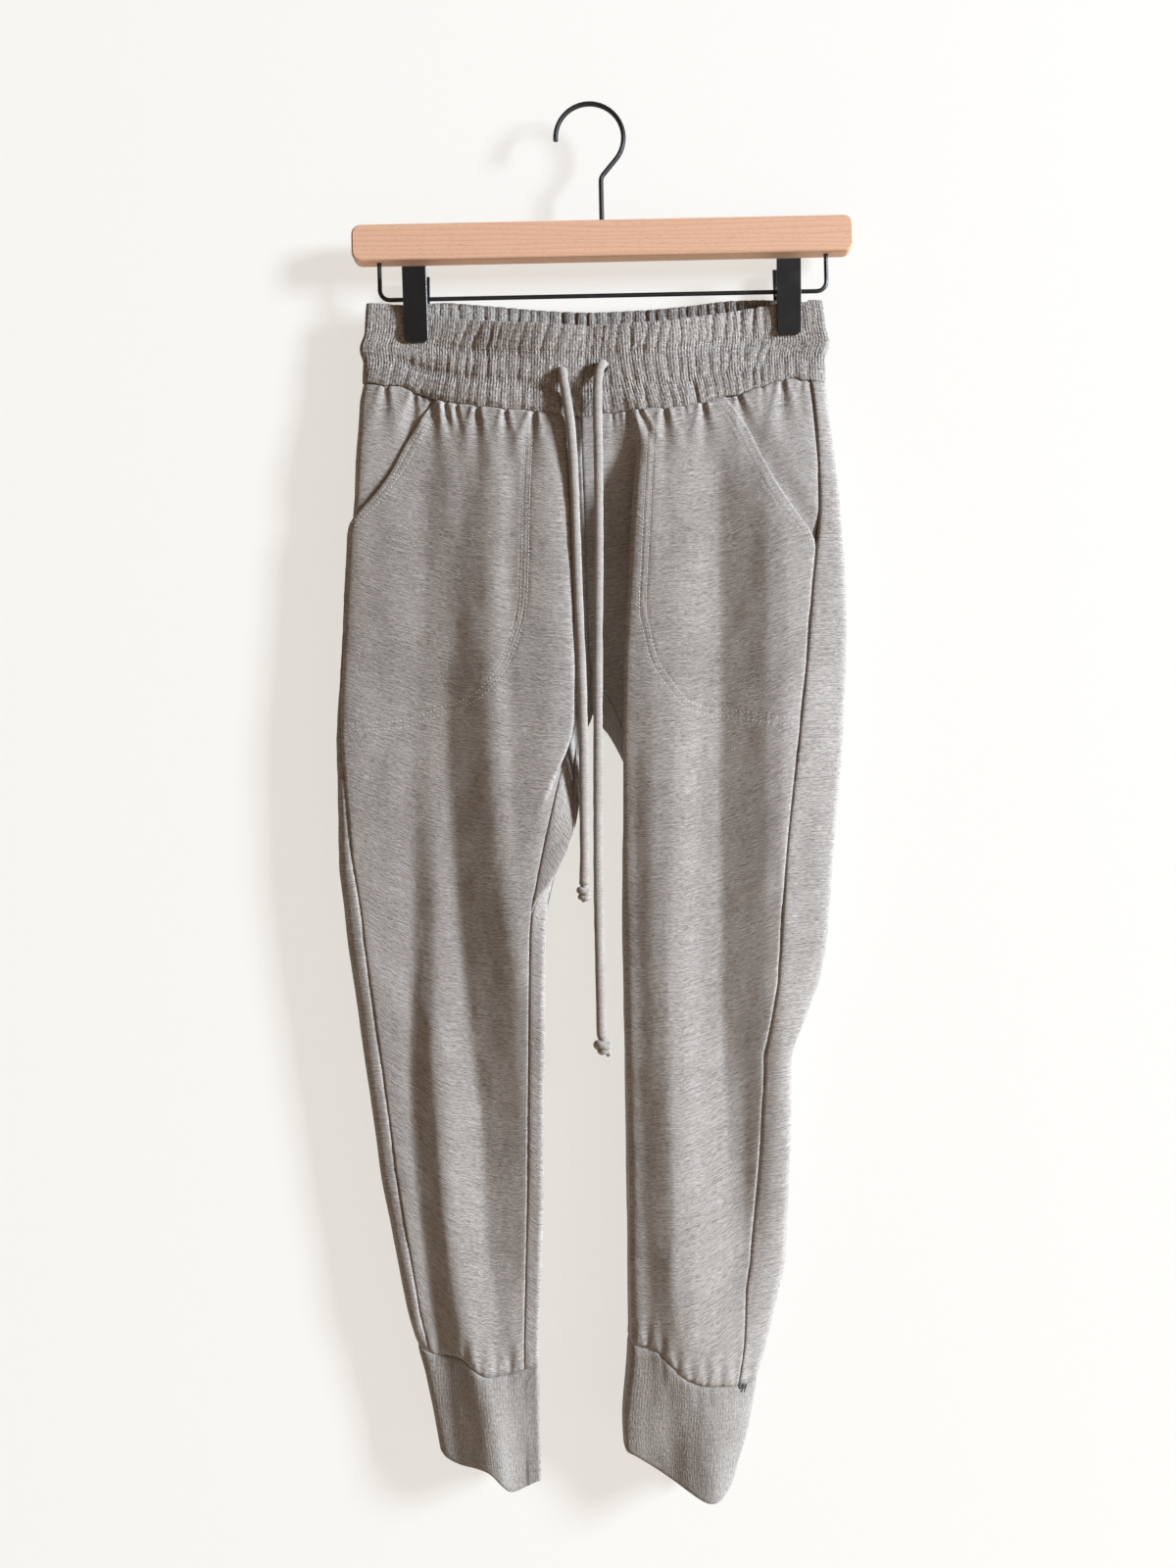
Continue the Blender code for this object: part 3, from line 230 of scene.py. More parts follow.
def tube(name, points, outline, finish):
    """A closed tube along points. outline(share, run) gives its section there as (n, 2) offsets in mm.

    The section's first axis stays level across the path, so a seam along the tube doesn't wander.
    """
    points = np.asarray(points, dtype=float)
    ahead = np.gradient(points, axis=0)
    ahead /= np.linalg.norm(ahead, axis=1, keepdims=True)
    side = np.zeros_like(points)
    side[0] = np.cross(ahead[0], (0.0, 1.0, 0.0))
    side[0] /= np.linalg.norm(side[0])
    for at in range(1, len(points)):
        carried = side[at - 1] - ahead[at] * np.dot(side[at - 1], ahead[at])
        side[at] = carried / np.linalg.norm(carried)
    out = np.cross(ahead, side)
    run = np.concatenate([[0.0], np.cumsum(np.linalg.norm(np.diff(points, axis=0), axis=1))])
    rings = []
    for at, (spot, across, over) in enumerate(zip(points, side, out)):
        section = outline(run[at] / run[-1], run[at])
        rings.append(spot + section[:, :1] * across + section[:, 1:] * over)
    rings = np.array(rings)
    rows, count = rings.shape[:2]
    ends = rings[[0, -1]].mean(axis=1)
    verts = np.vstack([rings.reshape(-1, 3), ends])
    index = np.arange(rows * count).reshape(rows, count)
    after = np.roll(index, -1, axis=1)
    quads = np.stack([index[:-1], after[:-1], after[1:], index[1:]], axis=-1).reshape(-1, 4).tolist()
    caps = [[rows * count, after[0, c], index[0, c]] for c in range(count)]
    caps += [[rows * count + 1, index[-1, c], after[-1, c]] for c in range(count)]
    around = np.abs(np.linspace(-1.0, 1.0, count)) * 0.5 * math.pi * 6.0
    uv = np.stack([np.tile(around, rows), np.repeat(run, count)], axis=-1)
    uv = np.vstack([uv, [[0, 0], [0, run[-1]]]])
    obj = finish_mesh(name, verts, quads + caps, uv, finish)
    clean = bmesh.new()
    clean.from_mesh(obj.data)
    bmesh.ops.recalc_face_normals(clean, faces=clean.faces)
    clean.to_mesh(obj.data)
    clean.free()
    return obj


CORD_DIAMETER = 6.8
CORD_SEAM = 1.35 * math.pi              # how far round the cord its stitched seam lies
CORD_WIDER, CORD_FLATTER = 1.04, 0.78
CORDS = {
    "right": ((-21, -15.5, -207), (-21, -19, -208.5), (-20.3, -20.8, -214), (-17.6, -22.3, -230),
              (-14.2, -23.5, -255), (-12, -24.5, -290), (-10.5, -25, -330), (-8.5, -25.5, -385),
              (-6.5, -25.5, -430), (-5, -25.5, -480), (-4.5, -26, -530), (-4, -27, -574),
              (-4.5, -27.5, -593)),
    "left": ((10.5, -15.2, -202), (9.5, -18.5, -203.5), (6.8, -20.2, -209), (5.5, -21.5, -226),
             (6, -22, -260), (6.5, -22, -300), (6.5, -22.5, -350), (6, -23, -420), (6, -23.5, -500),
             (6, -24, -570), (7, -25, -640), (8.5, -25, -700), (9.5, -25, -707)),
}
# The cord's path inside its knot, from its top: round in two slanting turns and out below
KNOT_PATHS = {
    "right": ((0, 0, 0), (0, 0.5, -3), (2.6, 1.6, -5.4), (1.8, -2.6, -6.2), (-2.6, -1.8, -4.2),
              (-2.2, 2.4, -5.2), (2.2, 2.2, -8.6), (2.2, -2.2, -9.6), (-2.2, -2.0, -9.0), (-1.0, 1.6, -9.8),
              (0.4, 0.4, -12.2)),
    "left": ((0, 0, 0), (0.4, 0.5, -2.6), (3.4, 1.8, -5.0), (3.0, -2.6, -6.6), (-3.0, -2.4, -4.6),
             (-3.6, 2.2, -6.4), (1.4, 2.6, -9.2), (3.2, -1.6, -8.6), (-0.6, -2.6, -9.6), (-1.2, 1.2, -9.4),
             (3.4, 0.0, -10.6), (5.4, -0.4, -13.2)),
}
KNOT_TUBE = {"right": 2.35, "left": 2.75}
for side, route in CORDS.items():
    points = smooth_route(route, 3.0)
    wobble = np.random.default_rng(11).normal(0.0, 1.0, (64, 2))

    def cord_outline(share, run, wobble=wobble):
        """A flattened round, with the stitched seam as a groove on its front and a soft ridge beside it."""
        turn = np.linspace(0.0, 2.0 * math.pi, 28, endpoint=False)
        uneven = np.interp(run / 9.0, np.arange(64), wobble[:, 0])
        radius = 0.5 * CORD_DIAMETER * (1.0 + 0.035 * uneven)
        seam = np.exp(-((turn - CORD_SEAM) / 0.16) ** 2)
        ridge = np.exp(-((turn - CORD_SEAM - 0.42) / 0.2) ** 2)
        reach = radius * (1.0 - 0.16 * seam + 0.05 * ridge)
        return np.stack([reach * np.cos(turn) * CORD_WIDER, reach * np.sin(turn) * CORD_FLATTER], axis=-1)

    string = tube(f"drawstring_{side}_cloth", points, cord_outline, cord_knit)
    end = np.array(route[-1], dtype=float)
    path = smooth_route(end + np.array(KNOT_PATHS[side]), 0.55)

    def knot_outline(share, run, side=side):
        turn = np.linspace(0.0, 2.0 * math.pi, 14, endpoint=False)
        size = KNOT_TUBE[side] * (1.15 - 0.35 * share ** 4)
        return np.stack([size * np.cos(turn), size * np.sin(turn)], axis=-1)

    knot = tube(f"knot_{side}_cloth", path, knot_outline, cord_knit)
    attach(string, "root")
    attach(knot, "root")
    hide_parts(f"drawstring_{side}")
    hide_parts(f"knot_{side}")


# ================================================================ the trousers' hanging shape
# Each half is one leg with its half of the hips. Its section at any height runs from the centre front seam
# (the inseam, on a leg) behind the inner fold, round its edge, across the front, round the side and along
# the back to the centre back seam (the inseam again).
FRONT_EDGE_COLUMNS = ("z", "seam_x", "seam_y", "root_x", "root_y", "edge_x", "turn")
FRONT_EDGE = {
    "right": (
        (-140, -2, -9, -10, -9.5, -18, 0), (-215, -6, -13, -12, -13.5, -20, 0),
        (-245, -7, -13, -13, -13, -19, 1), (-275, -6, -10, -19, -8, -16, 6), (-320, -4, -4, -18, -1, -14, 7),
        (-423, -1, 2, -17, 3, -11, 5), (-484, -14, -8, -18, -6, -11, 1.5),
        (-515, -24, -21, -27, -22, -29.5, 0), (-540, -29, -22.8, -34, -23.2, -37, 0),
        (-560, -34, -22, -39, -23, -45, 0), (-618, -45, -22, -50, -22, -57, 0),
        (-820, -47, -19, -52, -19, -59, 0), (-950, -50, -13, -55, -13, -62, 0),
        (-1060, -47, -11, -52, -11, -59, 0),
    ),
    "left": (
        (-140, -2, -9, 8, -9.5, 18, 0), (-215, -6, -13, 10, -13.5, 24, 0), (-245, -7, -13, 26, -12, 37, 1),
        (-275, -6, -10, 41, -7, 35, 6), (-320, -4, -4, 41, -6, 31, 8), (-423, -1, 2, 34, -14, 25, 6),
        (-484, 31, -17, 33, -17, 25, 5), (-550, 31, -13, 29, -14, 25, 6), (-590, 33, -2, 28, -5, 24.5, 8),
        (-617, 37, 6, 28, 4, 24, 11), (-820, 38, 7, 28, 6, 29, 10), (-950, 36, 5, 29, 4, 31, 7),
        (-1000, 33, 5, 24, 3, 25, 5), (-1060, 36, 4, 30, 3, 32, 4),
    ),
}
BACK_EDGE_COLUMNS = ("z", "root_x", "root_y", "lip_x", "lip_y", "seam_x", "seam_y")
BACK_EDGE = {
    "right": (
        (-140, -30, 10, -12, 10, -1, 10), (-245, -30, 11, -12, 10, -1, 9), (-320, -26, 13, -12, 9, -1, 7),
        (-424, -24, 13, -12, 10, 1, 9), (-484, -34, 13, -20, 10, -10, -5),
        (-515, -38, 12.5, -19, 7, -10, -17), (-550, -40, 12, -20, 2, -11, -21),
        (-583, -41, 10, -27, -8, -23, -22), (-617, -40, 10, -31, -22, -45, -21),
        (-660, -41, 10, -32.5, -22.5, -47, -21), (-740, -42, 9, -33.3, -21, -47, -20),
        (-820, -43, 9, -34, -20, -47, -19), (-950, -47, 7, -38, -13, -50, -13),
        (-1060, -45, 6, -36, -11, -47, -11),
    ),
    "left": (
        (-140, 30, 10, 12, 10, -1, 10), (-245, 30, 11, 12, 10, -1, 9), (-320, 26, 13, 12, 9, -1, 7),
        (-424, 28, 13, 14, 10, 1, 9), (-484, 50, 13, 43, 11, 36, -2), (-550, 54, 12, 48, 10, 42, 2),
        (-590, 53, 11, 46, 10, 40, 9), (-617, 52, 11, 45, 9, 37, 6), (-820, 54, 10, 46, 8, 38, 7),
        (-950, 52, 8, 44, 6, 36, 5), (-1060, 50, 6, 43, 5, 36, 4),
    ),
}
SIDE_COLUMNS = ("z", "side_x")
SIDE = {
    "right": (
        (-140, -169), (-170, -170.4), (-177, -171.5), (-186.5, -175), (-197, -171.6), (-212, -172.3),
        (-225, -175), (-300, -179),
        (-325, -184), (-380, -187), (-484, -192), (-580, -190), (-640, -184), (-700, -175), (-820, -158),
        (-920, -137.5), (-970, -123.5), (-1010, -116), (-1060, -106),
    ),
    "left": (
        (-140, 176), (-152, 176.5), (-171, 179.4), (-181.5, 182.2), (-190, 178.4), (-211, 177.8),
        (-217, 179.6), (-250, 182.6), (-313, 188),
        (-384, 192.5), (-430, 192.5), (-484, 190.5), (-560, 184), (-640, 177.5), (-664, 173), (-720, 151.5),
        (-790, 151), (-880, 148.5), (-935, 136), (-970, 126), (-1010, 119), (-1060, 104),
    ),
}
# The front's and back's middle planes, and how far in from the side, on the front, the side seam lies.
GIRTH_COLUMNS = ("z", "front", "back", "seam_in")
GIRTH = {
    "right": (
        (-140, -10, 9, -3), (-215, -14, 10, -3), (-245, -16, 11, -3), (-320, -22, 12, -2),
        (-380, -24, 12, 0), (-484, -24, 12, 3), (-560, -23, 12, 9), (-620, -22, 12, 13.5),
        (-820, -19, 11, 12.5), (-950, -13, 8, 8), (-1060, -11, 6, 6),
    ),
    "left": (
        (-140, -10, 9, 11), (-215, -14, 10, 12), (-245, -16, 11, 12), (-320, -21, 12, 18),
        (-380, -23, 12, 29), (-484, -24, 12, 36), (-560, -24, 12, 38), (-650, -23, 12, 37),
        (-720, -22, 11, 21), (-820, -20, 10, 25), (-890, -19, 9, 29), (-950, -17, 8, 16),
        (-1060, -12, 6, 9),
    ),
}
# The front's relief: at each height, (x, how far forward) along the same run of pleats and valleys, from the
# side to the inner edge. The cloth runs straight between them and turns softly at each.
RELIEF = {
    "right": (
        (-215, (-165, 7), (-150, 7), (-128, 7), (-112, 9.5), (-106, 10.5), (-97, 11.5), (-86, 12.5),
         (-76, 13.2), (-68, 13.5), (-58, 13.6), (-40, 14.2), (-26, 14.5)),
        (-245, (-165, 10), (-150, 10.5), (-128, 11), (-112, 12.5), (-106, 13), (-97, 14), (-86, 15.5),
         (-76, 16.8), (-68, 17.2), (-58, 17), (-40, 18), (-26, 18.5)),
        (-300, (-165, 11), (-150, 12), (-122, 12.8), (-107, 15.4), (-101, 15.8), (-96, 16), (-86, 18.4),
         (-77, 20.6), (-67, 21.4), (-57, 21), (-34, 24), (-25, 24.6)),
        (-370, (-165, 11), (-150, 12), (-124, 12.6), (-108, 15), (-102, 16.2), (-96, 17.8), (-86, 20.6),
         (-76, 23.2), (-69, 24), (-58, 23.4), (-34, 26.8), (-24, 27.4)),
        (-440, (-165, 11.5), (-150, 12), (-128, 12.5), (-114, 14.2), (-110, 14.5), (-105, 15.2),
         (-92, 19.6), (-77, 25), (-70, 25.8), (-60, 25), (-33, 28.4), (-25, 29)),
        (-500, (-163, 11.5), (-150, 12), (-134, 12.4), (-119, 13.9), (-114, 14.1), (-107, 14.6), (-90, 20),
         (-73, 26), (-66, 26.8), (-58, 26), (-36, 28.4), (-28, 28.8)),
        (-550, (-160, 11.5), (-150, 12), (-133, 11.9), (-119, 14.4), (-113, 14.6), (-103, 14.8),
         (-87, 20.2), (-70, 26.2), (-63, 27), (-56, 26.6), (-42, 27.8), (-34, 28.2)),
        (-590, (-157, 11), (-148, 11.5), (-132, 11.2), (-118, 15), (-112, 15), (-101, 14.6), (-83, 20.6),
         (-66, 26.8), (-58, 27.8), (-53, 27.6), (-45, 27.8), (-39, 27.8)),
        (-630, (-155, 11), (-147, 11), (-133, 10.6), (-117, 15.2), (-111, 15), (-97, 14.2), (-79, 20.4),
         (-60, 27.2), (-53, 28), (-49, 27.8), (-45, 27.8), (-41, 27.4)),
        (-675, (-153, 10.8), (-146, 10.8), (-134, 10), (-118, 15.6), (-112, 15.6), (-93, 13.8), (-73, 20),
         (-53, 26.4), (-46, 27.4), (-44, 27.4), (-42, 27.4), (-40, 27)),
        (-720, (-152, 10.5), (-145, 10.5), (-135, 9.6), (-119, 16), (-112, 16.2), (-88, 13.6), (-70, 19.2),
         (-51, 25), (-45, 26), (-43, 26), (-41, 26), (-39, 25.6)),
        (-765, (-150, 10.3), (-143, 10.3), (-134, 9.4), (-115, 17), (-107, 17.2), (-82, 13.4), (-66, 17.2),
         (-50, 21.4), (-44, 22.4), (-42, 22.4), (-40, 22.4), (-38, 22)),
        (-810, (-146, 10), (-139, 10), (-131, 9.2), (-112, 17.4), (-105, 17.4), (-79, 13), (-64, 16),
         (-51, 19), (-45, 20), (-43, 20), (-41, 20), (-39, 19.6)),
        (-850, (-143, 10), (-136, 10), (-127, 9.2), (-108, 17.6), (-102, 17.4), (-80, 13.2), (-66, 14.4),
         (-54, 16), (-48, 16.8), (-46, 16.8), (-44, 16.8), (-42, 16.4)),
        (-905, (-136, 9.8), (-129, 9.8), (-119, 9), (-101, 17), (-95, 17), (-71, 13.4), (-62, 13.9),
         (-54, 14.6), (-50, 15), (-48, 15), (-46, 15), (-44, 14.6)),
        (-955, (-126, 9.3), (-119, 9.3), (-109, 9), (-89, 17.4), (-83, 17.6), (-64, 13.4), (-59, 13.6),
         (-54, 13.9), (-51, 14), (-49, 14), (-47, 14), (-45, 13.6)),
        (-990, (-118, 8.6), (-112, 8.6), (-105, 9), (-79, 19), (-72, 19.4), (-60, 15), (-56, 14),
         (-53, 13.4), (-51, 13), (-49, 13), (-47, 13), (-45, 12.6)),
        (-1045, (-112, 8.6), (-107, 8.6), (-98, 9.4), (-73, 18.4), (-66, 18.6), (-57, 14), (-54, 13.2),
         (-51, 12.6), (-49, 12.4), (-47, 12.2), (-45, 12), (-42, 11.6)),
    ),
    "left": (
        (-215, (24, 13.5), (44, 13.4), (60, 13), (74, 12.6), (84, 12), (98, 11.4), (110, 11), (124, 10),
         (140, 9), (152, 9), (170, 9)),
        (-245, (37, 17), (48, 17), (62, 17), (74, 16.4), (84, 15.8), (97, 15.2), (112, 15.6), (130, 15.8),
         (142, 15.4), (156, 14.6), (176, 14)),
        (-300, (36, 23), (48, 23), (64, 22.8), (76, 22), (86, 21.2), (97, 20.6), (114, 24), (131, 27.4),
         (142, 28), (157, 26.6), (180, 25)),
        (-370, (35, 24.2), (48, 24.4), (64, 24), (76, 23), (86, 22), (97, 21.4), (114, 25.4), (132, 29.4),
         (145, 30.4), (158, 28.8), (184, 26)),
        (-440, (33, 24.6), (47, 25.4), (63, 25.2), (76, 23.8), (86, 22.6), (98, 21.6), (115, 25.4),
         (132, 29.6), (145, 30.4), (158, 28.4), (184, 22.8)),
        (-500, (33, 23.6), (46, 26.4), (60, 27), (68, 26), (80, 23.4), (97, 21.6), (115, 25.6), (131, 29.4),
         (143, 30.2), (157, 27.6), (182, 22.6)),
        (-560, (34, 23.2), (46, 26.4), (59, 27.2), (68, 26), (81, 23), (98, 21.2), (115, 25.2), (131, 29.2),
         (142, 30), (158, 26.6), (180, 25)),
        (-620, (36, 23.2), (46, 26.2), (58, 27.4), (68, 26.2), (82, 22.6), (98, 20.4), (115, 24.4),
         (131, 28.2), (144, 29.4), (158, 26.8), (176, 25.2)),
        (-690, (37, 22.6), (47, 25.8), (58, 27.4), (69, 26), (83, 22.2), (99, 19.2), (116, 23.2),
         (131, 26.8), (142, 27.8), (154, 24.8), (168, 20.8)),
        (-750, (38, 22), (48, 25), (59, 27.4), (72, 25.8), (86, 21.8), (102, 18), (114, 18.2), (127, 22),
         (139, 24.6), (148, 24.6), (158, 23.8)),
        (-820, (40, 21), (50, 24), (61, 26.8), (74, 24.8), (90, 20.2), (106, 15.6), (115, 14.8),
         (124, 16.8), (133, 18.8), (143, 18.6), (154, 17.6)),
        (-880, (42, 19), (52, 22), (62, 24.8), (76, 22.8), (92, 18.2), (108, 14), (116, 12.8), (124, 12.9),
         (132, 12.9), (140, 12.2), (150, 11)),
        (-940, (45, 17), (54, 19.4), (64, 22), (76, 22.4), (92, 19.4), (104, 16.4), (111, 14.8),
         (118, 13.4), (124, 12.2), (129, 11.4), (136, 10.4)),
        (-1000, (38, 15), (48, 15.8), (58, 15.8), (68, 18.2), (82, 21), (92, 21.2), (98, 20.2), (104, 18.6),
         (109, 17), (114, 15), (120, 12.6)),
        (-1045, (45, 13), (56, 14), (66, 15.4), (76, 18.4), (88, 20.2), (94, 20), (98, 18.8), (101, 17.4),
         (104, 16), (107, 14.6), (110, 13)),
    ),
}
# The back hangs against the wall, with shallow pleats from the gathered waistband.
BACK_RELIEF = {
    "right": (
        (-230, (-170, 0), (-140, 0.5), (-122, -0.5), (-96, 1), (-70, -0.5), (-34, 0.5), (-10, 0)),
        (-400, (-175, 0), (-148, 4.5), (-126, -2.5), (-98, 5), (-66, -2), (-30, 3), (-10, 0)),
        (-600, (-180, 0), (-150, 4.5), (-128, -3), (-104, 5), (-72, -3), (-46, 2), (-30, 0)),
        (-800, (-150, 0), (-128, 4), (-114, -3), (-94, 4.5), (-72, -2), (-50, 1), (-30, 0)),
        (-1040, (-110, 0), (-100, 1.5), (-92, -2), (-80, 2.5), (-66, -1), (-50, 1), (-40, 0)),
    ),
    "left": (
        (-230, (10, 0), (34, 0.5), (64, -0.5), (86, 1), (112, -0.5), (136, 0.5), (170, 0)),
        (-400, (10, 0), (36, 2.5), (60, -2.5), (92, 5), (120, -3), (148, 4), (180, 0)),
        (-600, (38, 0), (52, 2), (70, -3), (98, 5), (124, -2.5), (150, 4), (178, 0)),
        (-800, (38, 0), (52, 2), (68, -3), (92, 4.5), (112, -3), (130, 3.5), (150, 0)),
        (-1040, (36, 0), (50, 1), (60, -2), (80, 2.5), (92, -2), (104, 2), (112, 0)),
    ),
}
SIDES = {"right": -1.0, "left": 1.0}
FACES = ("front", "back")
GUSSET_TOP, GUSSET_TIP = -424, -617
HANGER_TILT = 1.2           # degrees
RAIL_Z = -145.0
CLIP_X = (-135.8, 147.8)    # along the rail
CLIP_MIDDLES = [x - RAIL_Z * math.tan(math.radians(HANGER_TILT)) for x in CLIP_X]
BAND_WALL = 2.6
CLIP_JAWS = [f"clip_{side}_jaw_{face}" for side in SIDES for face in FACES]
HALF_GRIP = 1.3             # each wall of the waistband lies this far from the middle where a clip holds it
LEVEL_STEP = 2.0
LEVELS = np.arange(-1068.0, -136.0, LEVEL_STEP)
PANEL_SAMPLES = 201
EDGE_SHARE = 0.15           # the part of a front panel's samples that lie behind and round its inner fold
SEAM_EASE, CREASE_EASE = 14.0, 12.0     # how far seams and creases ease into each other down the cloth
CREASE_SOFTNESS, BACK_SOFTNESS = 2.4, 7.0


def blurred(values, reach, step=LEVEL_STEP):
    """Values softened over about `reach` mm along their first axis, with the ends kept."""
    count = max(1, round(3 * reach / step))
    weights = np.exp(-0.5 * (np.arange(-count, count + 1) * step / reach) ** 2)
    weights /= weights.sum()
    low = 2 * values[:1] - values[count:0:-1]
    high = 2 * values[-1:] - values[-2:-count - 2:-1]
    padded = np.concatenate([low, values, high])
    return sum(weight * padded[at:at + len(values)] for at, weight in enumerate(weights))


def table_column(rows, columns, name, reach=SEAM_EASE):
    """One column of a table, at every level."""
    ordered = sorted(rows, key=lambda row: row[0])
    at = columns.index(name)
    return blurred(np.interp(LEVELS, [row[0] for row in ordered], [row[at] for row in ordered]), reach)


def smoothstep(low, high, value):
    """0 up to low, 1 from high on, and an easy change between."""
    share = np.clip((value - low) / (high - low), 0.0, 1.0)
    return share * share * (3.0 - 2.0 * share)


ACROSS = np.arange(-205.0, 206.0, 1.0)


def relief_map(rows, softness):
    """How far forward the cloth lies at every level and every mm across."""
    ordered = sorted(rows, key=lambda row: row[0])
    heights = [row[0] for row in ordered]
    lines = []
    for line in zip(*(sorted(row[1:]) for row in ordered)):
        x, lift = (blurred(np.interp(LEVELS, heights, values), CREASE_EASE) for values in zip(*line))
        lines.append((x, lift))
    x, lift = np.array([line[0] for line in lines]), np.array([line[1] for line in lines])
    straight = np.array([np.interp(ACROSS, x[:, level], lift[:, level]) for level in range(len(LEVELS))])
    return blurred(straight.T, softness, 1.0).T


def on_map(values, x, z):
    """Values of a relief map at points."""
    column = np.clip(x - ACROSS[0], 0, len(ACROSS) - 1.001)
    level = np.clip((z - LEVELS[0]) / LEVEL_STEP, 0, len(LEVELS) - 1.001)
    low, left = level.astype(int), column.astype(int)
    up, right = level - low, column - left
    return ((values[low, left] * (1 - right) + values[low, left + 1] * right) * (1 - up)
            + (values[low + 1, left] * (1 - right) + values[low + 1, left + 1] * right) * up)


def seam_line(side, face):
    """A panel's inner edge: the middle seam above the gusset, the gusset's edge, then the inseam."""
    tables = {"front": (FRONT_EDGE, FRONT_EDGE_COLUMNS), "back": (BACK_EDGE, BACK_EDGE_COLUMNS)}
    edges, columns = tables[face]
    spread = smoothstep(GUSSET_TOP, GUSSET_TOP - 30.0, LEVELS)
    line = {}
    for name in ("seam_x", "seam_y"):
        own = table_column(edges[side], columns, name)
        middle = 0.5 * sum(table_column(edges[each], columns, name) for each in SIDES)
        line[name] = middle + (own - middle) * spread
    if face == "back":
        joined = smoothstep(GUSSET_TIP + 30.0, GUSSET_TIP, LEVELS)
        ahead = seam_line(side, "front")
        line = {name: values + (ahead[name] - values) * joined for name, values in line.items()}
    return line


def half_surface(side):
    """Dense front and back of one half: {"front": (levels, samples, 6), "back": ...}, points and normals."""
    front = {name: table_column(FRONT_EDGE[side], FRONT_EDGE_COLUMNS, name)
             for name in FRONT_EDGE_COLUMNS[1:]}
    back = {name: table_column(BACK_EDGE[side], BACK_EDGE_COLUMNS, name)
            for name in BACK_EDGE_COLUMNS[1:]}
    front.update(seam_line(side, "front"))
    back.update(seam_line(side, "back"))
    girth = {name: table_column(GIRTH[side], GIRTH_COLUMNS, name) for name in GIRTH_COLUMNS[1:]}
    side_x = table_column(SIDE[side], SIDE_COLUMNS, "side_x", 3.0)
    out = SIDES[side]
    across = side_x - front["edge_x"]
    ahead, behind = girth["front"], girth["back"]
    corners = (
        (front["seam_x"], front["seam_y"]), (front["root_x"], front["root_y"]),
        (front["edge_x"], ahead + front["turn"]), (front["edge_x"] + 1.5 * out, ahead),
        (front["edge_x"] + 0.25 * across, ahead), (front["edge_x"] + 0.55 * across, ahead),
        (side_x - 5 * out, ahead), (side_x, 0.7 * ahead), (side_x, 0.5 * behind),
        (side_x - 18 * out, behind), (0.5 * back["root_x"] + 0.5 * side_x, behind),
        (back["root_x"], back["root_y"]), (back["lip_x"], back["lip_y"]),
        (0.6 * back["lip_x"] + 0.4 * back["seam_x"], 0.6 * back["lip_y"] + 0.4 * back["seam_y"]),
        (back["seam_x"], back["seam_y"]),
    )
    chain = np.stack([np.stack(corner, axis=-1) for corner in corners], axis=1)
    edges = chain[:, 3]
    # each round cuts the section's corners, until they are smooth
    for _ in range(6):
        first, second = chain[:, :-1], chain[:, 1:]
        cut = np.stack([0.75 * first + 0.25 * second, 0.25 * first + 0.75 * second], axis=2)
        chain = np.concatenate([chain[:, :1], cut.reshape(len(chain), -1, 2)[:, 1:-1], chain[:, -1:]], axis=1)
    x, y = chain[..., 0], chain[..., 1]
    z = np.repeat(LEVELS[:, None], x.shape[1], axis=1)
    spots = np.linalg.norm(chain - edges[:, None], axis=-1).argmin(axis=1)
    forward = (behind[:, None] - y) / (behind - ahead)[:, None]
    on_front = smoothstep(0.45, 0.9, forward)
    on_back = smoothstep(0.4, 0.1, forward)
    lift = on_map(relief_map(RELIEF[side], CREASE_SOFTNESS), x, z) + ahead[:, None]
    y = y - on_front * lift + on_back * on_map(relief_map(BACK_RELIEF[side], BACK_SOFTNESS), x, z)
    # the clips hold the waistband's two walls together, and it opens out gradually away from them
    pinch = np.zeros_like(x)
    for centre in CLIP_MIDDLES:
        pinch = np.maximum(pinch, 1.0 - smoothstep(4.0, 105.0, np.abs(x - centre)))
    pinch *= smoothstep(-216.0, -180.0, z)
    held = np.sign(y) * (0.5 * BAND_WALL + HALF_GRIP) * smoothstep(0.0, 2.0, np.abs(y))
    y = y * (1.0 - pinch) + held * pinch

    shares = np.linspace(0.0, 1.0, PANEL_SAMPLES)
    halves = {"front": [], "back": []}
    for level, inset in enumerate(girth["seam_in"]):
        points = np.stack([x[level], y[level], z[level]], axis=-1)
        run = np.concatenate([[0.0], np.cumsum(np.linalg.norm(np.diff(points, axis=0), axis=1))])
        reach = (side_x[level] - points[:, 0]) * out
        widest = int(np.argmin(reach + 0.01 * np.abs(points[:, 1])))
        near = slice(widest, None, -1) if inset >= 0 else slice(widest, None)
        seam = np.interp(abs(inset), np.maximum.accumulate(reach[near]), run[near])
        for face, stops, ends in (("front", (0.0, EDGE_SHARE, 1.0), (0.0, run[spots[level]], seam)),
                                  ("back", (0.0, 1.0), (seam, run[-1]))):
            at = np.interp(shares, stops, ends)
            halves[face].append(np.stack([np.interp(at, run, points[:, axis]) for axis in range(3)], axis=-1))
    faces = {face: np.array(rows) for face, rows in halves.items()}
    for face, points in faces.items():
        normal = np.cross(np.gradient(points, axis=1), np.gradient(points, axis=0)) * out
        normal /= np.linalg.norm(normal, axis=-1, keepdims=True)
        faces[face] = np.concatenate([points, normal], axis=-1)
    # the two panels face the same way where the side seam and, on the leg, the inseam join them
    for front_at, back_at, levels in ((-1, 0, LEVELS < 0), (0, -1, LEVELS < GUSSET_TIP)):
        shared = faces["front"][levels, front_at, 3:] + faces["back"][levels, back_at, 3:]
        shared /= np.linalg.norm(shared, axis=-1, keepdims=True)
        faces["front"][levels, front_at, 3:] = shared
        faces["back"][levels, back_at, 3:] = shared
    return faces


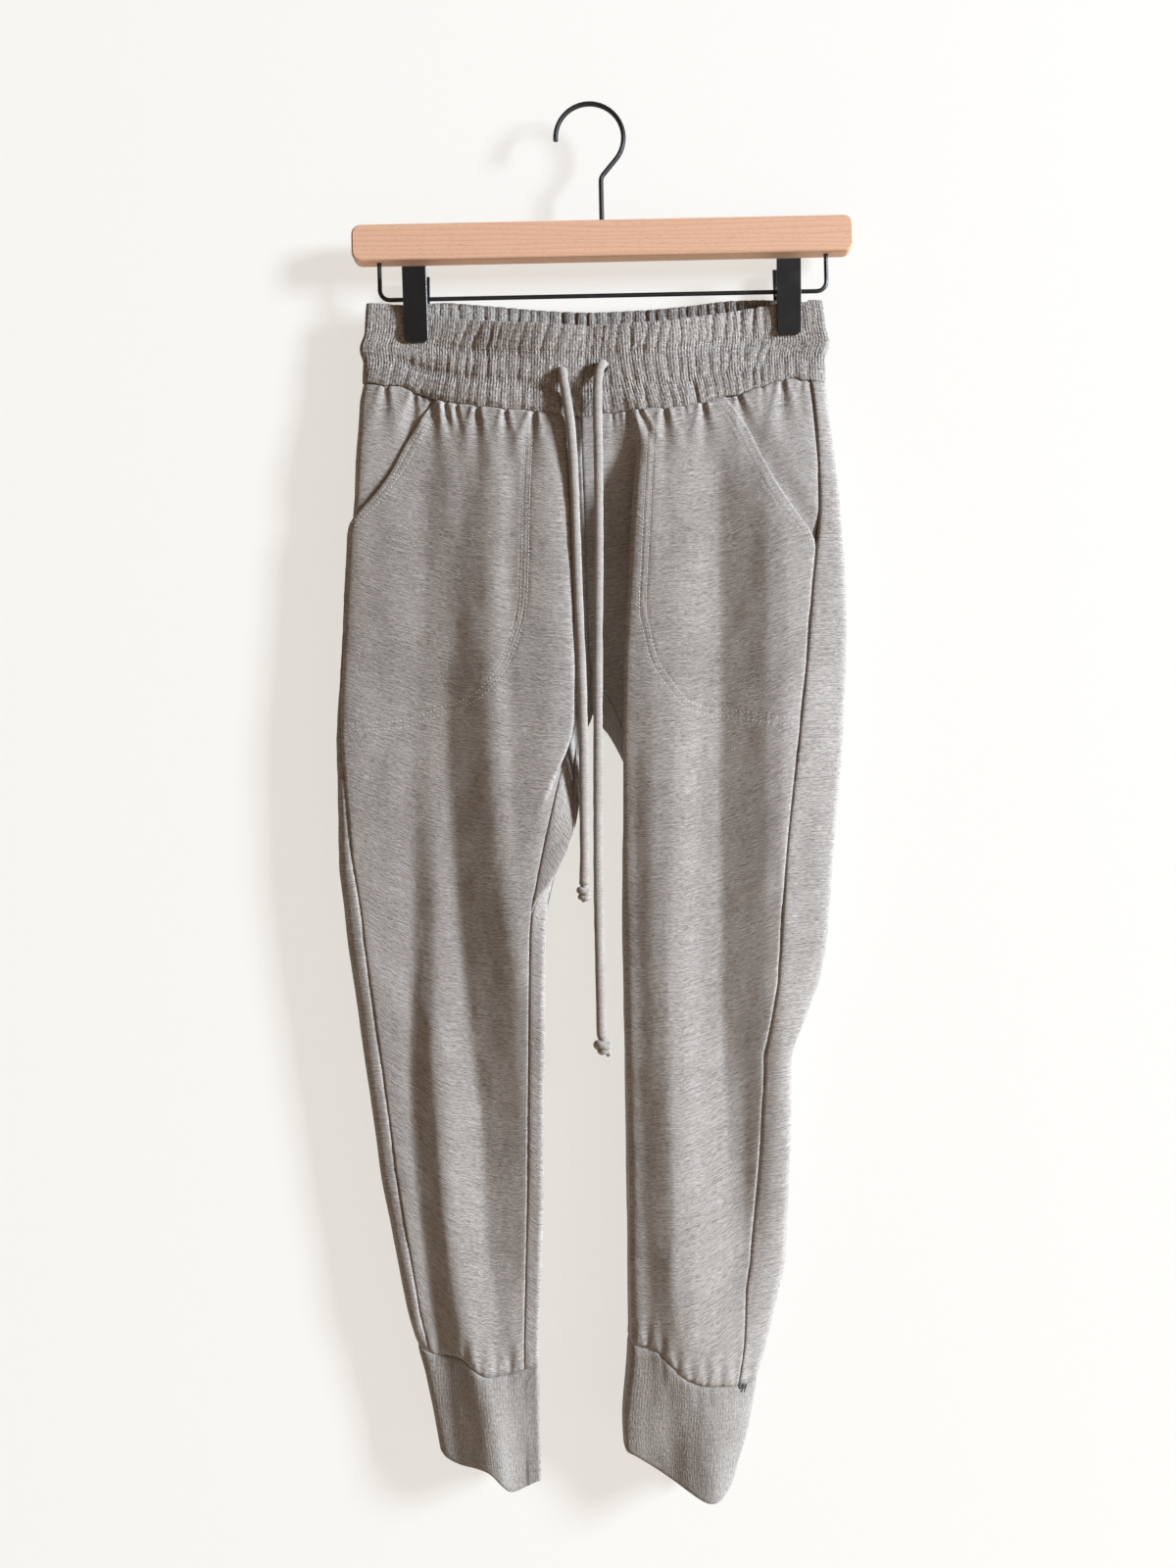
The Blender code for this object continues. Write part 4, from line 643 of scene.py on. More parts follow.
def sample(surface, share, z):
    """Points and normals (..., 6) at the share across a dense face and the height z."""
    level = np.clip((z - LEVELS[0]) / LEVEL_STEP, 0, len(LEVELS) - 1.001)
    column = np.clip(share * (PANEL_SAMPLES - 1), 0, PANEL_SAMPLES - 1.001)
    low, left = level.astype(int), column.astype(int)
    up, right = (level - low)[..., None], (column - left)[..., None]
    lower = surface[low, left] * (1 - right) + surface[low, left + 1] * right
    upper = surface[low + 1, left] * (1 - right) + surface[low + 1, left + 1] * right
    return lower * (1 - up) + upper * up


def random_field(u, v, seed):
    """Smooth random values of about -1..1 over a plane, one bump per unit each way."""
    lattice = np.random.default_rng(seed).uniform(-1.0, 1.0, (97, 89))
    low_u, low_v = np.floor(u).astype(int), np.floor(v).astype(int)
    part_u, part_v = u - low_u, v - low_v
    part_u, part_v = part_u ** 2 * (3 - 2 * part_u), part_v ** 2 * (3 - 2 * part_v)

    def corner(du, dv):
        return lattice[(low_u + du) % 97, (low_v + dv) % 89]

    near = corner(0, 0) * (1 - part_u) + corner(1, 0) * part_u
    far = corner(0, 1) * (1 - part_u) + corner(1, 1) * part_u
    return near * (1 - part_v) + far * part_v


HALVES = {side: half_surface(side) for side in SIDES}


# ================================================================ front and back panels
# Each leg is one front and one back panel of brushed-back terry, sewn face to face at the side, inseam and
# middle seams and gathered into the waistband. The pocket's cut edge is turned under and held by two rows of
# stitches, and the pocket bag behind it is caught to the front by two more.
SEAM_GAP = 0.2
CLOTH = 1.6
BAND_SEAM = {
    "front": ((-180, -212), (-171, -215), (-155, -217), (-140, -218), (-133, -223), (-119, -228),
              (-97, -233), (-78, -236), (-59, -238), (-24, -241), (-8, -244), (-1, -241), (12, -240.5),
              (37, -237), (57, -237), (85, -232), (104, -227), (114, -225), (127, -219.5), (146, -213),
              (154, -211), (163, -214.5), (180, -214.5)),
    "back": ((-180, -212), (-120, -216), (0, -221), (120, -216), (180, -213)),
}
CUFF_SEAM = {
    "right": ((-135, -943), (-128, -944.5), (-120, -951), (-105, -950.5), (-95, -949.5), (-86, -961),
              (-78, -964.5), (-60, -963), (-51, -959.5), (-38, -957.5)),
    "left": ((24, -939), (36, -940.5), (53, -944.5), (59, -951.5), (67, -962), (81, -969), (110, -971),
             (121, -970), (132, -965)),
}
# The front's slanting pocket edge, as (z, x), from the waistband down to the side seam.
POCKET_EDGE = {
    "right": ((-215, -109), (-229, -119), (-244.5, -129), (-263.5, -141), (-288, -154), (-310.5, -174),
              (-327, -187)),
    "left": ((-215, 95), (-228, 103), (-248, 117), (-276.5, 130), (-301, 143), (-333, 166), (-345, 182)),
}
# Where the gathered cloth tucks in below the waistband: (x, lean per mm down, length, depth, width).
TUCKS = (
    (-155, -0.05, 46, 1.5, 3.5), (-133, -0.1, 34, 1.6, 3.0), (-119, 0.0, 50, 1.8, 4.0),
    (-109.5, 0.15, 30, 1.7, 2.6), (-101, 0.1, 24, 1.3, 2.4), (-85, 0.0, 40, 1.9, 3.2),
    (-64, 0.05, 34, 1.6, 3.0), (-42, -0.1, 44, 1.8, 3.6), (-26, 0.05, 16, 0.7, 2.6), (17, 0.0, 16, 0.8, 2.2),
    (28, 0.25, 30, 1.9, 3.0), (37, 0.35, 24, 1.6, 2.6), (56, 0.0, 46, 1.8, 3.6), (71, 0.05, 14, 0.6, 2.4),
    (85, 0.05, 36, 1.7, 3.2), (112, 0.2, 26, 1.5, 2.8), (130, 0.0, 16, 0.7, 2.4), (145.5, 0.0, 42, 1.7, 3.2),
    (160, -0.1, 18, 0.7, 2.6),
)
BACK_TUCKS = tuple((x, lean, length, depth, 3.2) for x, lean, length, depth in (
    (-160, 0, 30, 1.0), (-146, 0.05, 50, 1.5), (-131, 0, 26, 1.1), (-118, 0, 60, 1.6), (-103, 0.1, 30, 1.2),
    (-90, 0, 44, 1.5), (-76, 0, 24, 1.0), (-61, 0.05, 40, 1.4), (-44, 0, 56, 1.6), (-30, 0, 22, 1.0),
    (-15, 0, 34, 1.2), (14, 0, 30, 1.1), (27, 0, 52, 1.5), (43, -0.05, 24, 1.0), (58, 0, 46, 1.5),
    (74, 0, 28, 1.1), (88, 0, 60, 1.7), (104, 0, 26, 1.0), (119, 0, 42, 1.4), (133, 0, 24, 1.1),
    (149, -0.05, 50, 1.4), (163, 0, 26, 1.0)))
# The pocket bag's seam through the front, as (x, z), from the waistband round to the side.
BAG_SEAM = {
    "right": ((-48, -246), (-50, -300), (-52, -380), (-57, -405), (-66, -428), (-79, -445), (-94, -455),
              (-112, -461), (-141, -470.5), (-185, -473)),
    "left": ((43.5, -246), (40, -310), (36.5, -384.5), (39, -401.5), (45.5, -427.5), (61.5, -451.5),
             (73, -462.5), (90.5, -467), (104, -468), (135, -473.5), (152.5, -474)),
}
TWIN = 5.0                  # between the two rows of a twin-needle seam
POCKET_ROWS_OF_STITCHES = (4.0, 4.0 + TWIN)
PANEL_GRID = {"front": (150, 290), "back": (96, 200)}      # columns and rows
PANEL_SEED = {("right", "front"): 100, ("right", "back"): 150, ("left", "front"): 200, ("left", "back"): 250}
SIDE_SEAM_SEED = {"right": 31, "left": 32}
INSEAM_SEED = {"right": 33, "left": 34}
CUFF_GATHERS = {"right": range(-126, -40, 11), "left": range(32, 130, 11)}


def edge_height(rows, x):
    """Height of a seam or edge line at x, with its corners eased over 6 mm each way."""
    spots, heights = zip(*rows)
    return sum(np.interp(x + step, spots, heights) for step in (-6.0, -3.0, 0.0, 3.0, 6.0)) / 5.0


def band_seam(face, x):
    """Height of the waistband's seam: on the front the cloth swells up into it between the tucks."""
    height = edge_height(BAND_SEAM[face], x)
    if face == "back":
        return height
    spots = np.array([-176.0] + [row[0] for row in TUCKS[:9]] + [-8.0, -1.0]
                     + [row[0] for row in TUCKS[9:]] + [178.0])
    after = np.clip(np.searchsorted(spots, x), 1, len(spots) - 1)
    width = spots[after] - spots[after - 1]
    part = np.clip((x - spots[after - 1]) / width, 0.0, 1.0)
    return height + 1.5 * np.minimum(1.0, width / 18.0) * (4.0 * part * (1.0 - part)) ** 0.7


def cut_share(side):
    """At each level, the share across the front where the pocket's cut edge runs; 1 below the opening."""
    line = smooth_route([(z, x, 0.0) for z, x in POCKET_EDGE[side]], 2.0)
    line = line[np.argsort(line[:, 0])]
    edge_x = np.interp(LEVELS, line[:, 0], line[:, 1]) * SIDES[side]
    shares = np.linspace(0.0, 1.0, PANEL_SAMPLES)
    surface = HALVES[side]["front"]
    found = [np.interp(x, np.maximum.accumulate(surface[at, :, 0] * SIDES[side]), shares)
             for at, x in enumerate(edge_x)]
    return blurred(np.where(LEVELS < line[0, 0], 1.0, found), 6.0)


def beside(line, offset):
    """A flat line moved sideways."""
    line = np.asarray(line, dtype=float)
    ahead = np.gradient(line, axis=0)
    ahead /= np.linalg.norm(ahead, axis=1, keepdims=True)
    return line + offset * np.stack([-ahead[:, 1], ahead[:, 0]], axis=-1)


def away_from(line, x, z):
    """Distance of points from a flat line."""
    nearest = np.full(np.shape(x), np.inf)
    for (x0, z0), (x1, z1) in zip(line, line[1:]):
        along = ((x - x0) * (x1 - x0) + (z - z0) * (z1 - z0)) / ((x1 - x0) ** 2 + (z1 - z0) ** 2)
        along = np.clip(along, 0.0, 1.0)
        nearest = np.minimum(nearest, np.hypot(x - x0 - along * (x1 - x0), z - z0 - along * (z1 - z0)))
    return nearest


def tucks(rows, x, below):
    """Valleys that start at the waistband's seam and fade down the cloth, each with a soft lip beside it."""
    made = np.zeros_like(x)
    for spot, lean, length, depth, width in rows:
        away = (x - spot - lean * below) / (0.5 * width * (1.0 + below / 14.0))
        fade = np.exp(-1.3 * below / length) * smoothstep(-1.0, 2.0, below)
        made += depth * fade * (0.55 * np.exp(-((np.abs(away) - 1.9) / 0.9) ** 2) - np.exp(-away ** 2))
    return made


def arc_lengths(points, axis):
    """How far along a grid's rows or columns each point lies, in mm."""
    steps = np.linalg.norm(np.diff(points, axis=axis), axis=-1)
    start = np.zeros_like(np.take(steps, [0], axis=axis))
    return np.concatenate([start, np.cumsum(steps, axis=axis)], axis=axis)


def shell(name, grid, wall, lift, uv, finish, inner_lift=0.0, closed=False):
    """A closed wall on a (rows, columns, 6) grid of middle points and normals, its outer face lifted."""
    rows, columns = grid.shape[:2]
    points, normals = grid[..., :3], grid[..., 3:]
    outer = points + normals * (0.5 * wall + lift)[..., None]
    inner = points + normals * (inner_lift - 0.5 * wall * np.ones((rows, columns)))[..., None]
    index = np.arange(rows * columns).reshape(rows, columns)
    if closed:
        index = np.concatenate([index, index[:, :1]], axis=1)
    a, b, c, d = index[:-1, :-1], index[:-1, 1:], index[1:, 1:], index[1:, :-1]
    middle = rows // 2, columns // 2
    face = np.cross(outer[middle[0], middle[1] + 1] - outer[middle],
                    outer[middle[0] + 1, middle[1]] - outer[middle])
    flip = np.dot(face, normals[middle]) < 0
    front = np.stack([a, b, c, d], axis=-1).reshape(-1, 4)
    under = front[:, ::-1] + rows * columns
    rims = []
    borders = ([index[0], index[-1][::-1]] if closed
               else [index[0], index[:, -1], index[-1][::-1], index[:, 0][::-1]])
    for border in borders:
        first, second = border[:-1], border[1:]
        rims.append(np.stack([second, first, first + rows * columns, second + rows * columns], axis=-1))
    faces = np.concatenate([front, under, *rims])
    if flip:
        faces = faces[:, ::-1]
    verts = np.concatenate([outer.reshape(-1, 3), inner.reshape(-1, 3)])
    both = np.concatenate([uv.reshape(-1, 2), uv.reshape(-1, 2)])
    return finish_mesh(name, verts, faces, both, finish)


def seam_pucker(along, away, seed):
    """The small waves that a seam draws into the cloth beside it."""
    flat = np.zeros_like(along)
    wave = random_field(along / 5.5, flat, seed) + 0.6 * random_field(along / 2.7 + 40, flat, seed)
    return 0.3 * wave * np.exp(-away / 4.5)


def panel(side, face):
    """One panel's grid, its lift, and its cloth UV."""
    columns, rows = PANEL_GRID[face]
    surface = HALVES[side][face]
    across = np.linspace(0.0, 1.0, columns)
    if face == "front":
        hidden = columns // 5       # the columns behind and round the inner fold
        across = np.concatenate([np.linspace(0.0, EDGE_SHARE, hidden, endpoint=False),
                                 np.linspace(EDGE_SHARE, 1.0, columns - hidden)])
    down = np.linspace(0.0, 1.0, rows)[:, None]
    down = 0.62 * down + 0.38 * down ** 2       # the rows lie closer below the waistband, where the tucks are
    cut = cut_share(side) if face == "front" else np.ones(len(LEVELS))
    width = np.linalg.norm(np.diff(surface[..., :3], axis=1), axis=-1).sum(axis=1)
    heights = (-230.0 * (1 - down) - 955.0 * down) * np.ones((1, columns))
    # the rows' heights and the cloth's points are settled together
    for _ in range(5):
        gap = 0.5 * SEAM_GAP / np.interp(heights, LEVELS, width)
        end = np.interp(heights, LEVELS, cut)
        share = gap + (end - 2 * gap) * across
        grid = sample(surface, share, heights)
        x = grid[..., 0]
        heights = band_seam(face, x) * (1 - down) + edge_height(CUFF_SEAM[side], x) * down
    x, z = grid[..., 0], grid[..., 2]
    run = arc_lengths(grid[..., :3], 1)
    below = band_seam(face, x) - z
    above = z - edge_height(CUFF_SEAM[side], x)
    first, last = run, run[:, -1:] - run
    side_away, inner_away = (last, first) if face == "front" else (first, last)
    seed = PANEL_SEED[side, face]
    u = run - (run[:, hidden:hidden + 1] if face == "front" else 0.5 * run[:, -1:])
    v = arc_lengths(grid[..., :3], 0)
    open_edge = smoothstep(0.999, 0.99, np.interp(z, LEVELS, cut)) * np.ones_like(x)
    lift = 0.65 * random_field(u / 42.0, v / 70.0, seed) + 0.28 * random_field(u / 15.0, v / 24.0, seed + 1)
    lift += 0.07 * random_field(u / 4.5, v / 6.0, seed + 2)
    lift *= smoothstep(0.0, 14.0, below) * smoothstep(0.0, 14.0, above) * smoothstep(0.0, 10.0, inner_away)
    lift += tucks(TUCKS if face == "front" else BACK_TUCKS, x, below)
    lift += tucks([(spot, 0.0, 22.0, 0.7, 3.0) for spot in CUFF_GATHERS[side]], x, above)
    # every seam draws its edge down into a groove
    for away, held in ((below, 1.0), (above, 1.0), (inner_away, 0.6), (side_away, 1.0 - open_edge)):
        lift -= held * 0.8 * np.exp(-away / 0.7)
    lift += (1.0 - open_edge) * seam_pucker(z, side_away, SIDE_SEAM_SEED[side])
    lift += seam_pucker(z + 300, inner_away, INSEAM_SEED[side])
    if face == "front":
        # the pocket's edge is doubled under, with two rows of stitches drawn into it
        lift += open_edge * (0.15 * smoothstep(13.5, 9.5, side_away) - 0.7 * np.exp(-side_away / 2.0))
        for row in POCKET_ROWS_OF_STITCHES:
            lift -= 0.22 * open_edge * np.exp(-((side_away - row) / 0.8) ** 2)
        lift += open_edge * 0.5 * random_field(z / 23.0, 0 * z, seed + 3) * np.exp(-side_away / 9.0)
        on_face = smoothstep(EDGE_SHARE, EDGE_SHARE + 0.05, share)
        for offset in (0.0, TWIN):
            bag = beside(BAG_SEAM[side], offset)
            lift -= 0.36 * on_face * np.exp(-(away_from(bag, x, z) / 0.9) ** 2)
        bag_puff = away_from(beside(BAG_SEAM[side], 0.5 * TWIN), x, z)
        lift += (0.16 * on_face * np.exp(-((bag_puff - 7.0) / 3.0) ** 2)
                 * (0.5 + random_field(u / 9, v / 9, seed + 4)))
    return {"grid": grid, "lift": lift, "uv": np.stack([u, -v], axis=-1)}


PANELS = {(side, face): panel(side, face) for side in SIDES for face in FACES}
for (side, face), made in PANELS.items():
    cloth = shell(f"{face}_{side}_cloth", made["grid"], CLOTH, made["lift"], made["uv"], terry)
    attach(cloth, "root")
    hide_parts(f"{face}_{side}")


# ================================================================ pocket facings
# The piece that shows past each slanting pocket edge: trousers' cloth on top of the pocket bag, sewn into the
# waistband and the side seam, set back under the front panel's edge.
FACING_WALL = 1.2
FACING_BEHIND, FACING_UNDER = 1.6, 20.0     # behind the front panel and in under its cut edge
POCKET_ROWS, POCKET_COLUMNS = 90, 64
for side in SIDES:
    front = HALVES[side]["front"]
    cut = cut_share(side)
    width = np.linalg.norm(np.diff(front[..., :3], axis=1), axis=-1).sum(axis=1)
    low = min(row[0] for row in POCKET_EDGE[side]) - 6.0
    down = np.linspace(0.0, 1.0, POCKET_ROWS)[:, None]
    heights = (-220.0 * (1 - down) + low * down) * np.ones((1, POCKET_COLUMNS))
    for _ in range(5):
        wide = np.interp(heights, LEVELS, width)
        cut_at = np.interp(heights, LEVELS, cut)
        start = np.minimum(cut_at, 0.985) - FACING_UNDER / wide
        end = 1.0 - 0.5 * SEAM_GAP / wide
        share = start + (end - start) * np.linspace(0.0, 1.0, POCKET_COLUMNS)
        grid = sample(front, share, heights)
        heights = (band_seam("front", grid[..., 0]) - 0.5 * SEAM_GAP) * (1 - down) + low * down
    x, z = grid[..., 0], grid[..., 2]
    beyond = (share - cut_at) * wide
    behind = FACING_BEHIND * (1.0 - smoothstep(2.0, 24.0, beyond) + smoothstep(low + 30.0, low + 4.0, z))
    grid[..., :3] -= grid[..., 3:] * behind[..., None]
    run = arc_lengths(grid[..., :3], 1)
    below = band_seam("front", x) - z
    side_away = run[:, -1:] - run
    lift = 0.5 * random_field(run / 20.0, z / 30.0, 61) * smoothstep(0.0, 8.0, below) + tucks(TUCKS, x, below)
    lift -= 1.1 * np.exp(-below / 1.5) + 1.1 * np.exp(-side_away / 1.5)
    lift += seam_pucker(z, side_away, SIDE_SEAM_SEED[side])
    uv = np.stack([run, arc_lengths(grid[..., :3], 0)], axis=-1)
    facing = shell(f"pocket_{side}_cloth", grid, FACING_WALL, lift, uv, terry)
    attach(facing, "root")
    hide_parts(f"pocket_{side}")


# ================================================================ stitches
# The thread that holds the pocket edges, the pocket bags and the elastic: single stitches 2 to 3 mm long in a
# grey polyester thread, sunk into the cloth at both ends.
thread, tree, shader = start_material("grey_polyester_thread", roughness=0.6, sheen=0.2, specular=0.25)
twist = noise(tree, node(tree, "ShaderNodeTexCoord").outputs["Object"], 900.0, 1.0)
tree.links.new(blended(tree, twist, (0.36, 0.335, 0.31), (0.62, 0.59, 0.55)), shader.inputs["Base Color"])


def stitch_tree():
    """One arched stitch, standing on every step of the needle's path and turned with the cloth."""
    tree = bpy.data.node_groups.new("row_of_stitches", "GeometryNodeTree")
    sockets = {}
    for name, kind, way in (("Needle path", "NodeSocketGeometry", "INPUT"),
                            ("Stitch", "NodeSocketFloat", "INPUT"),
                            ("Gap", "NodeSocketFloat", "INPUT"), ("Thread", "NodeSocketFloat", "INPUT"),
                            ("Finish", "NodeSocketMaterial", "INPUT"),
                            ("Stitches", "NodeSocketGeometry", "OUTPUT")):
        sockets[name] = tree.interface.new_socket(name=name, in_out=way, socket_type=kind).identifier
    given = tree.nodes.new("NodeGroupInput").outputs
    step = maths(tree, "ADD", given["Stitch"], given["Gap"])
    path = node(tree, "GeometryNodeMeshToCurve", {"Mesh": given["Needle path"]}).outputs[0]
    holes = node(tree, "GeometryNodeResampleCurve", {"Curve": path, "Length": step}, mode="LENGTH").outputs[0]
    half = maths(tree, "MULTIPLY", given["Stitch"], 0.5)
    back = maths(tree, "MULTIPLY", half, -1.0)
    sunk = maths(tree, "MULTIPLY", given["Thread"], -0.7)
    arc = node(tree, "GeometryNodeCurveQuadraticBezier", {
        "Resolution": 3, "Start": node(tree, "ShaderNodeCombineXYZ", {"X": back, "Z": sunk}).outputs[0],
        "Middle": node(tree, "ShaderNodeCombineXYZ", {"Z": given["Thread"]}).outputs[0],
        "End": node(tree, "ShaderNodeCombineXYZ", {"X": half, "Z": sunk}).outputs[0]}).outputs[0]
    half_thread = maths(tree, "MULTIPLY", given["Thread"], 0.5)
    round_thread = node(tree, "GeometryNodeCurvePrimitiveCircle",
                        {"Resolution": 5, "Radius": half_thread}).outputs[0]
    stitch = node(tree, "GeometryNodeCurveToMesh", {"Curve": arc, "Profile Curve": round_thread,
                                                    "Fill Caps": True}).outputs[0]
    ahead = node(tree, "GeometryNodeInputTangent").outputs[0]
    outward = node(tree, "GeometryNodeInputNamedAttribute", {"Name": "outward"},
                   data_type="FLOAT_VECTOR").outputs[0]
    turned = node(tree, "FunctionNodeAxesToRotation", {"Primary Axis": ahead, "Secondary Axis": outward},
                  primary_axis="X", secondary_axis="Z").outputs[0]
    sewn = node(tree, "GeometryNodeInstanceOnPoints", {"Points": holes, "Instance": stitch,
                                                       "Rotation": turned}).outputs[0]
    real = node(tree, "GeometryNodeRealizeInstances", {"Geometry": sewn}).outputs[0]
    smooth = node(tree, "GeometryNodeSetShadeSmooth", {"Geometry": real}).outputs[0]
    dressed = node(tree, "GeometryNodeSetMaterial",
                   {"Geometry": smooth, "Material": given["Finish"]}).outputs[0]
    tree.links.new(dressed, tree.nodes.new("NodeGroupOutput").inputs[0])
    return tree, sockets


STITCH_TREE, STITCH_SOCKETS = stitch_tree()


def sew(name, rows, stitch, gap, thickness, finish):
    """Stitches along needle paths, each (points in mm, outward directions), as one piece of thread."""
    verts = np.concatenate([points for points, _ in rows]) * MM
    outward = np.concatenate([directions for _, directions in rows])
    edges, start = [], 0
    for points, _ in rows:
        edges += [(start + at, start + at + 1) for at in range(len(points) - 1)]
        start += len(points)
    path = bpy.data.meshes.new(name + "_path")
    path.from_pydata(verts.tolist(), edges, [])
    path.attributes.new("outward", "FLOAT_VECTOR", "POINT").data.foreach_set("vector", outward.ravel())
    guide = bpy.data.objects.new(name + "_path", path)
    bpy.context.scene.collection.objects.link(guide)
    modifier = guide.modifiers.new("stitches", "NODES")
    modifier.node_group = STITCH_TREE
    for socket, value in (("Stitch", stitch * MM), ("Gap", gap * MM), ("Thread", thickness * MM),
                          ("Finish", finish)):
        modifier[STITCH_SOCKETS[socket]] = value
    mesh = bpy.data.meshes.new_from_object(guide.evaluated_get(bpy.context.evaluated_depsgraph_get()))
    mesh.name = name
    bpy.data.objects.remove(guide)
    sewn = bpy.data.objects.new(name, mesh)
    bpy.context.scene.collection.objects.link(sewn)
    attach(sewn, "root")


def beside_edge(made, away, low):
    """The needle's path on a front panel at a distance inside its side edge, down to a height."""
    grid = made["grid"]
    outer = grid[..., :3] + grid[..., 3:] * (0.5 * CLOTH + made["lift"])[..., None]
    run = arc_lengths(grid[..., :3], 1)
    path = []
    for row, last in enumerate(run[:, -1:] - run):
        if outer[row, -1, 2] > low:
            both = np.concatenate([outer[row], grid[row, :, 3:]], axis=-1)
            path.append([np.interp(away, last[::-1], both[::-1, axis]) for axis in range(6)])
    path = np.array(path)
    return path[:, :3], path[:, 3:]


def across_cloth(made, line):
    """The needle's path on a front panel under a flat line, from the cloth's four nearest points."""
    grid = made["grid"]
    outer = grid[..., :3] + grid[..., 3:] * (0.5 * CLOTH + made["lift"])[..., None]
    shown = grid[..., 4] < -0.2
    both = np.concatenate([outer, grid[..., 3:]], axis=-1)[shown]
    route = smooth_route([(x, z, 0.0) for x, z in line], 2.5)[:, :2]
    route = route[np.abs(route[:, 0]) < np.abs(both[:, 0]).max() - 2.0]
    path = []
    for x, z in route:
        away = np.hypot(both[:, 0] - x, both[:, 2] - z)
        nearest = np.argsort(away)[:4]
        weight = 1.0 / (away[nearest] + 0.2)
        if away[nearest[0]] < 3.0:
            spot = (both[nearest] * weight[:, None]).sum(axis=0) / weight.sum()
            path.append((x, spot[1], z, *spot[3:]))
    path = np.array(path)
    return path[:, :3], path[:, 3:]


for side in SIDES:
    made = PANELS[side, "front"]
    low = min(z for z, x in POCKET_EDGE[side]) + 4.0
    rows = [beside_edge(made, away, low) for away in POCKET_ROWS_OF_STITCHES]
    rows += [across_cloth(made, beside(BAG_SEAM[side], offset)) for offset in (0.0, TWIN)]
    sew(f"pocket_stitches_{side}", rows, 2.2, 0.8, 0.58, thread)


# ================================================================ gusset
# A diamond of the same terry, cut on the bias, let into the crossing of the middle and inside seams so that
# the legs can part.
# How far it sags from the straight way between its front and back edges, as (z, (x, y, z)).
SAG = {
    "right": ((-617, (0, 0, 0)), (-583, (1, -1.5, -4)), (-550, (4, -1, -13)), (-517, (7, 0, -21)),
              (-484, (4, 0, -26)), (-454, (0, 0, -28)), (-424, (0, 0, -33))),
    "left": ((-617, (0, 0, 0)), (-583, (-1, 0, -3)), (-550, (-2, 1, -9)), (-517, (-3, 1, -18)),
             (-484, (-2, 0, -26)), (-454, (-1, 0, -28)), (-424, (0, 0, -33))),
}
GUSSET_ROWS, GUSSET_COLUMNS = 56, 40
GUSSET_BIAS = 38.0          # degrees between its middle line and the cloth's grain
fall = np.linspace(GUSSET_TIP + 3.0, GUSSET_TOP, GUSSET_ROWS)
chains = {}
for face, share in (("front", 0.0), ("back", 1.0)):
    legs = {side: sample(HALVES[side][face], np.full(GUSSET_ROWS, share), fall) for side in SIDES}
    middle = 0.5 * (legs["right"][-1:] + legs["left"][-1:])
    chains[face] = np.concatenate([legs["right"][:-1], middle, legs["left"][-2::-1]])
hang = {}
for side, rows in SAG.items():
    z = [row[0] for row in rows]
    hang[side] = np.stack([np.interp(fall, z, [row[1][axis] for row in rows]) for axis in range(3)], axis=-1)
sag = blurred(np.concatenate([hang["right"][:-1], hang["left"][::-1]]), 3.0, 1.0)
first, last = chains["front"], chains["back"]
middle = 0.5 * (first[:, :3] + last[:, :3])
pull = middle + 2.0 * sag
across = np.linspace(0.004, 0.996, GUSSET_COLUMNS)[None, :, None]
points = ((1 - across) ** 2 * first[:, None, :3] + 2 * across * (1 - across) * pull[:, None]
          + across ** 2 * last[:, None, :3])
normals = np.cross(np.gradient(points, axis=0), np.gradient(points, axis=1))
normals /= np.linalg.norm(normals, axis=-1, keepdims=True)
normals *= np.sign(np.sum(normals[GUSSET_ROWS - 1, 0] * first[GUSSET_ROWS - 1, 3:]))
grid = np.concatenate([points, normals], axis=-1)
run, drop = arc_lengths(points, 1), arc_lengths(points, 0)
edge_away = np.minimum(run, run[:, -1:] - run)
lift = 0.4 * random_field(run / 18.0, drop / 34.0, 71) * smoothstep(0.0, 10.0, edge_away)
lift -= 0.8 * np.exp(-edge_away / 0.9)
bias = math.radians(GUSSET_BIAS)
uv = np.stack([run * math.cos(bias) - drop * math.sin(bias),
               run * math.sin(bias) + drop * math.cos(bias)], axis=-1)
gusset = shell("gusset_cloth", grid, CLOTH, lift, uv, terry)
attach(gusset, "root")
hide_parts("gusset")


# ================================================================ waistband
# A doubled band of thick rib over wide elastic. Two groups of needle rows hold the elastic flat and leave
# three puffed channels; the elastic gathers the whole band into narrow upright pleats. The clips grip it
# flat.
BAND_HEIGHT = 69.0
NEEDLE_ROWS = (0.33, 0.43, 0.67, 0.75)      # as shares of the band's height
rib = heather("heather_grey_rib", (0.104, 0.091, 0.081), (0.355, 0.326, 0.301), 0.95, 0.3, 0.7, 0.8, wale=0.2,
              rows=[-share * BAND_HEIGHT for share in NEEDLE_ROWS])
BAND_TOP = {
    "front": ((-180, -153), (-168, -152), (-150, -153), (-136, -156), (-118, -160.5), (-103, -164),
              (-61, -169.5), (0, -173.5), (58, -169), (106, -160), (135, -154), (150, -151.5), (178, -151)),
    "back": ((-180, -153), (-168, -151), (-136, -151.5), (-110, -149.5), (-77, -151), (0, -154.5),
             (60, -151.5), (104, -147.5), (135, -147.5), (150, -149), (178, -150)),
}
# Down the band, as shares of its height: the channels' and needle rows' borders, and how far each stands out.
BAND_ZONES = (0.0, 0.04, 0.15, 0.28, 0.34, 0.42, 0.47, 0.55, 0.63, 0.68, 0.74, 0.78, 0.86, 0.95, 1.0)
BAND_PUFF = (-0.5, 0.2, 0.6, 0.4, -0.8, -0.8, 0.5, 1.1, 0.6, -0.9, -0.9, 0.0, 0.5, 0.2, -1.3)
CHANNELS = ((-0.1, 0.36, 0.20), (0.40, 0.69, 0.0), (0.73, 1.1, 0.08))      # top, bottom, lean of the pleats


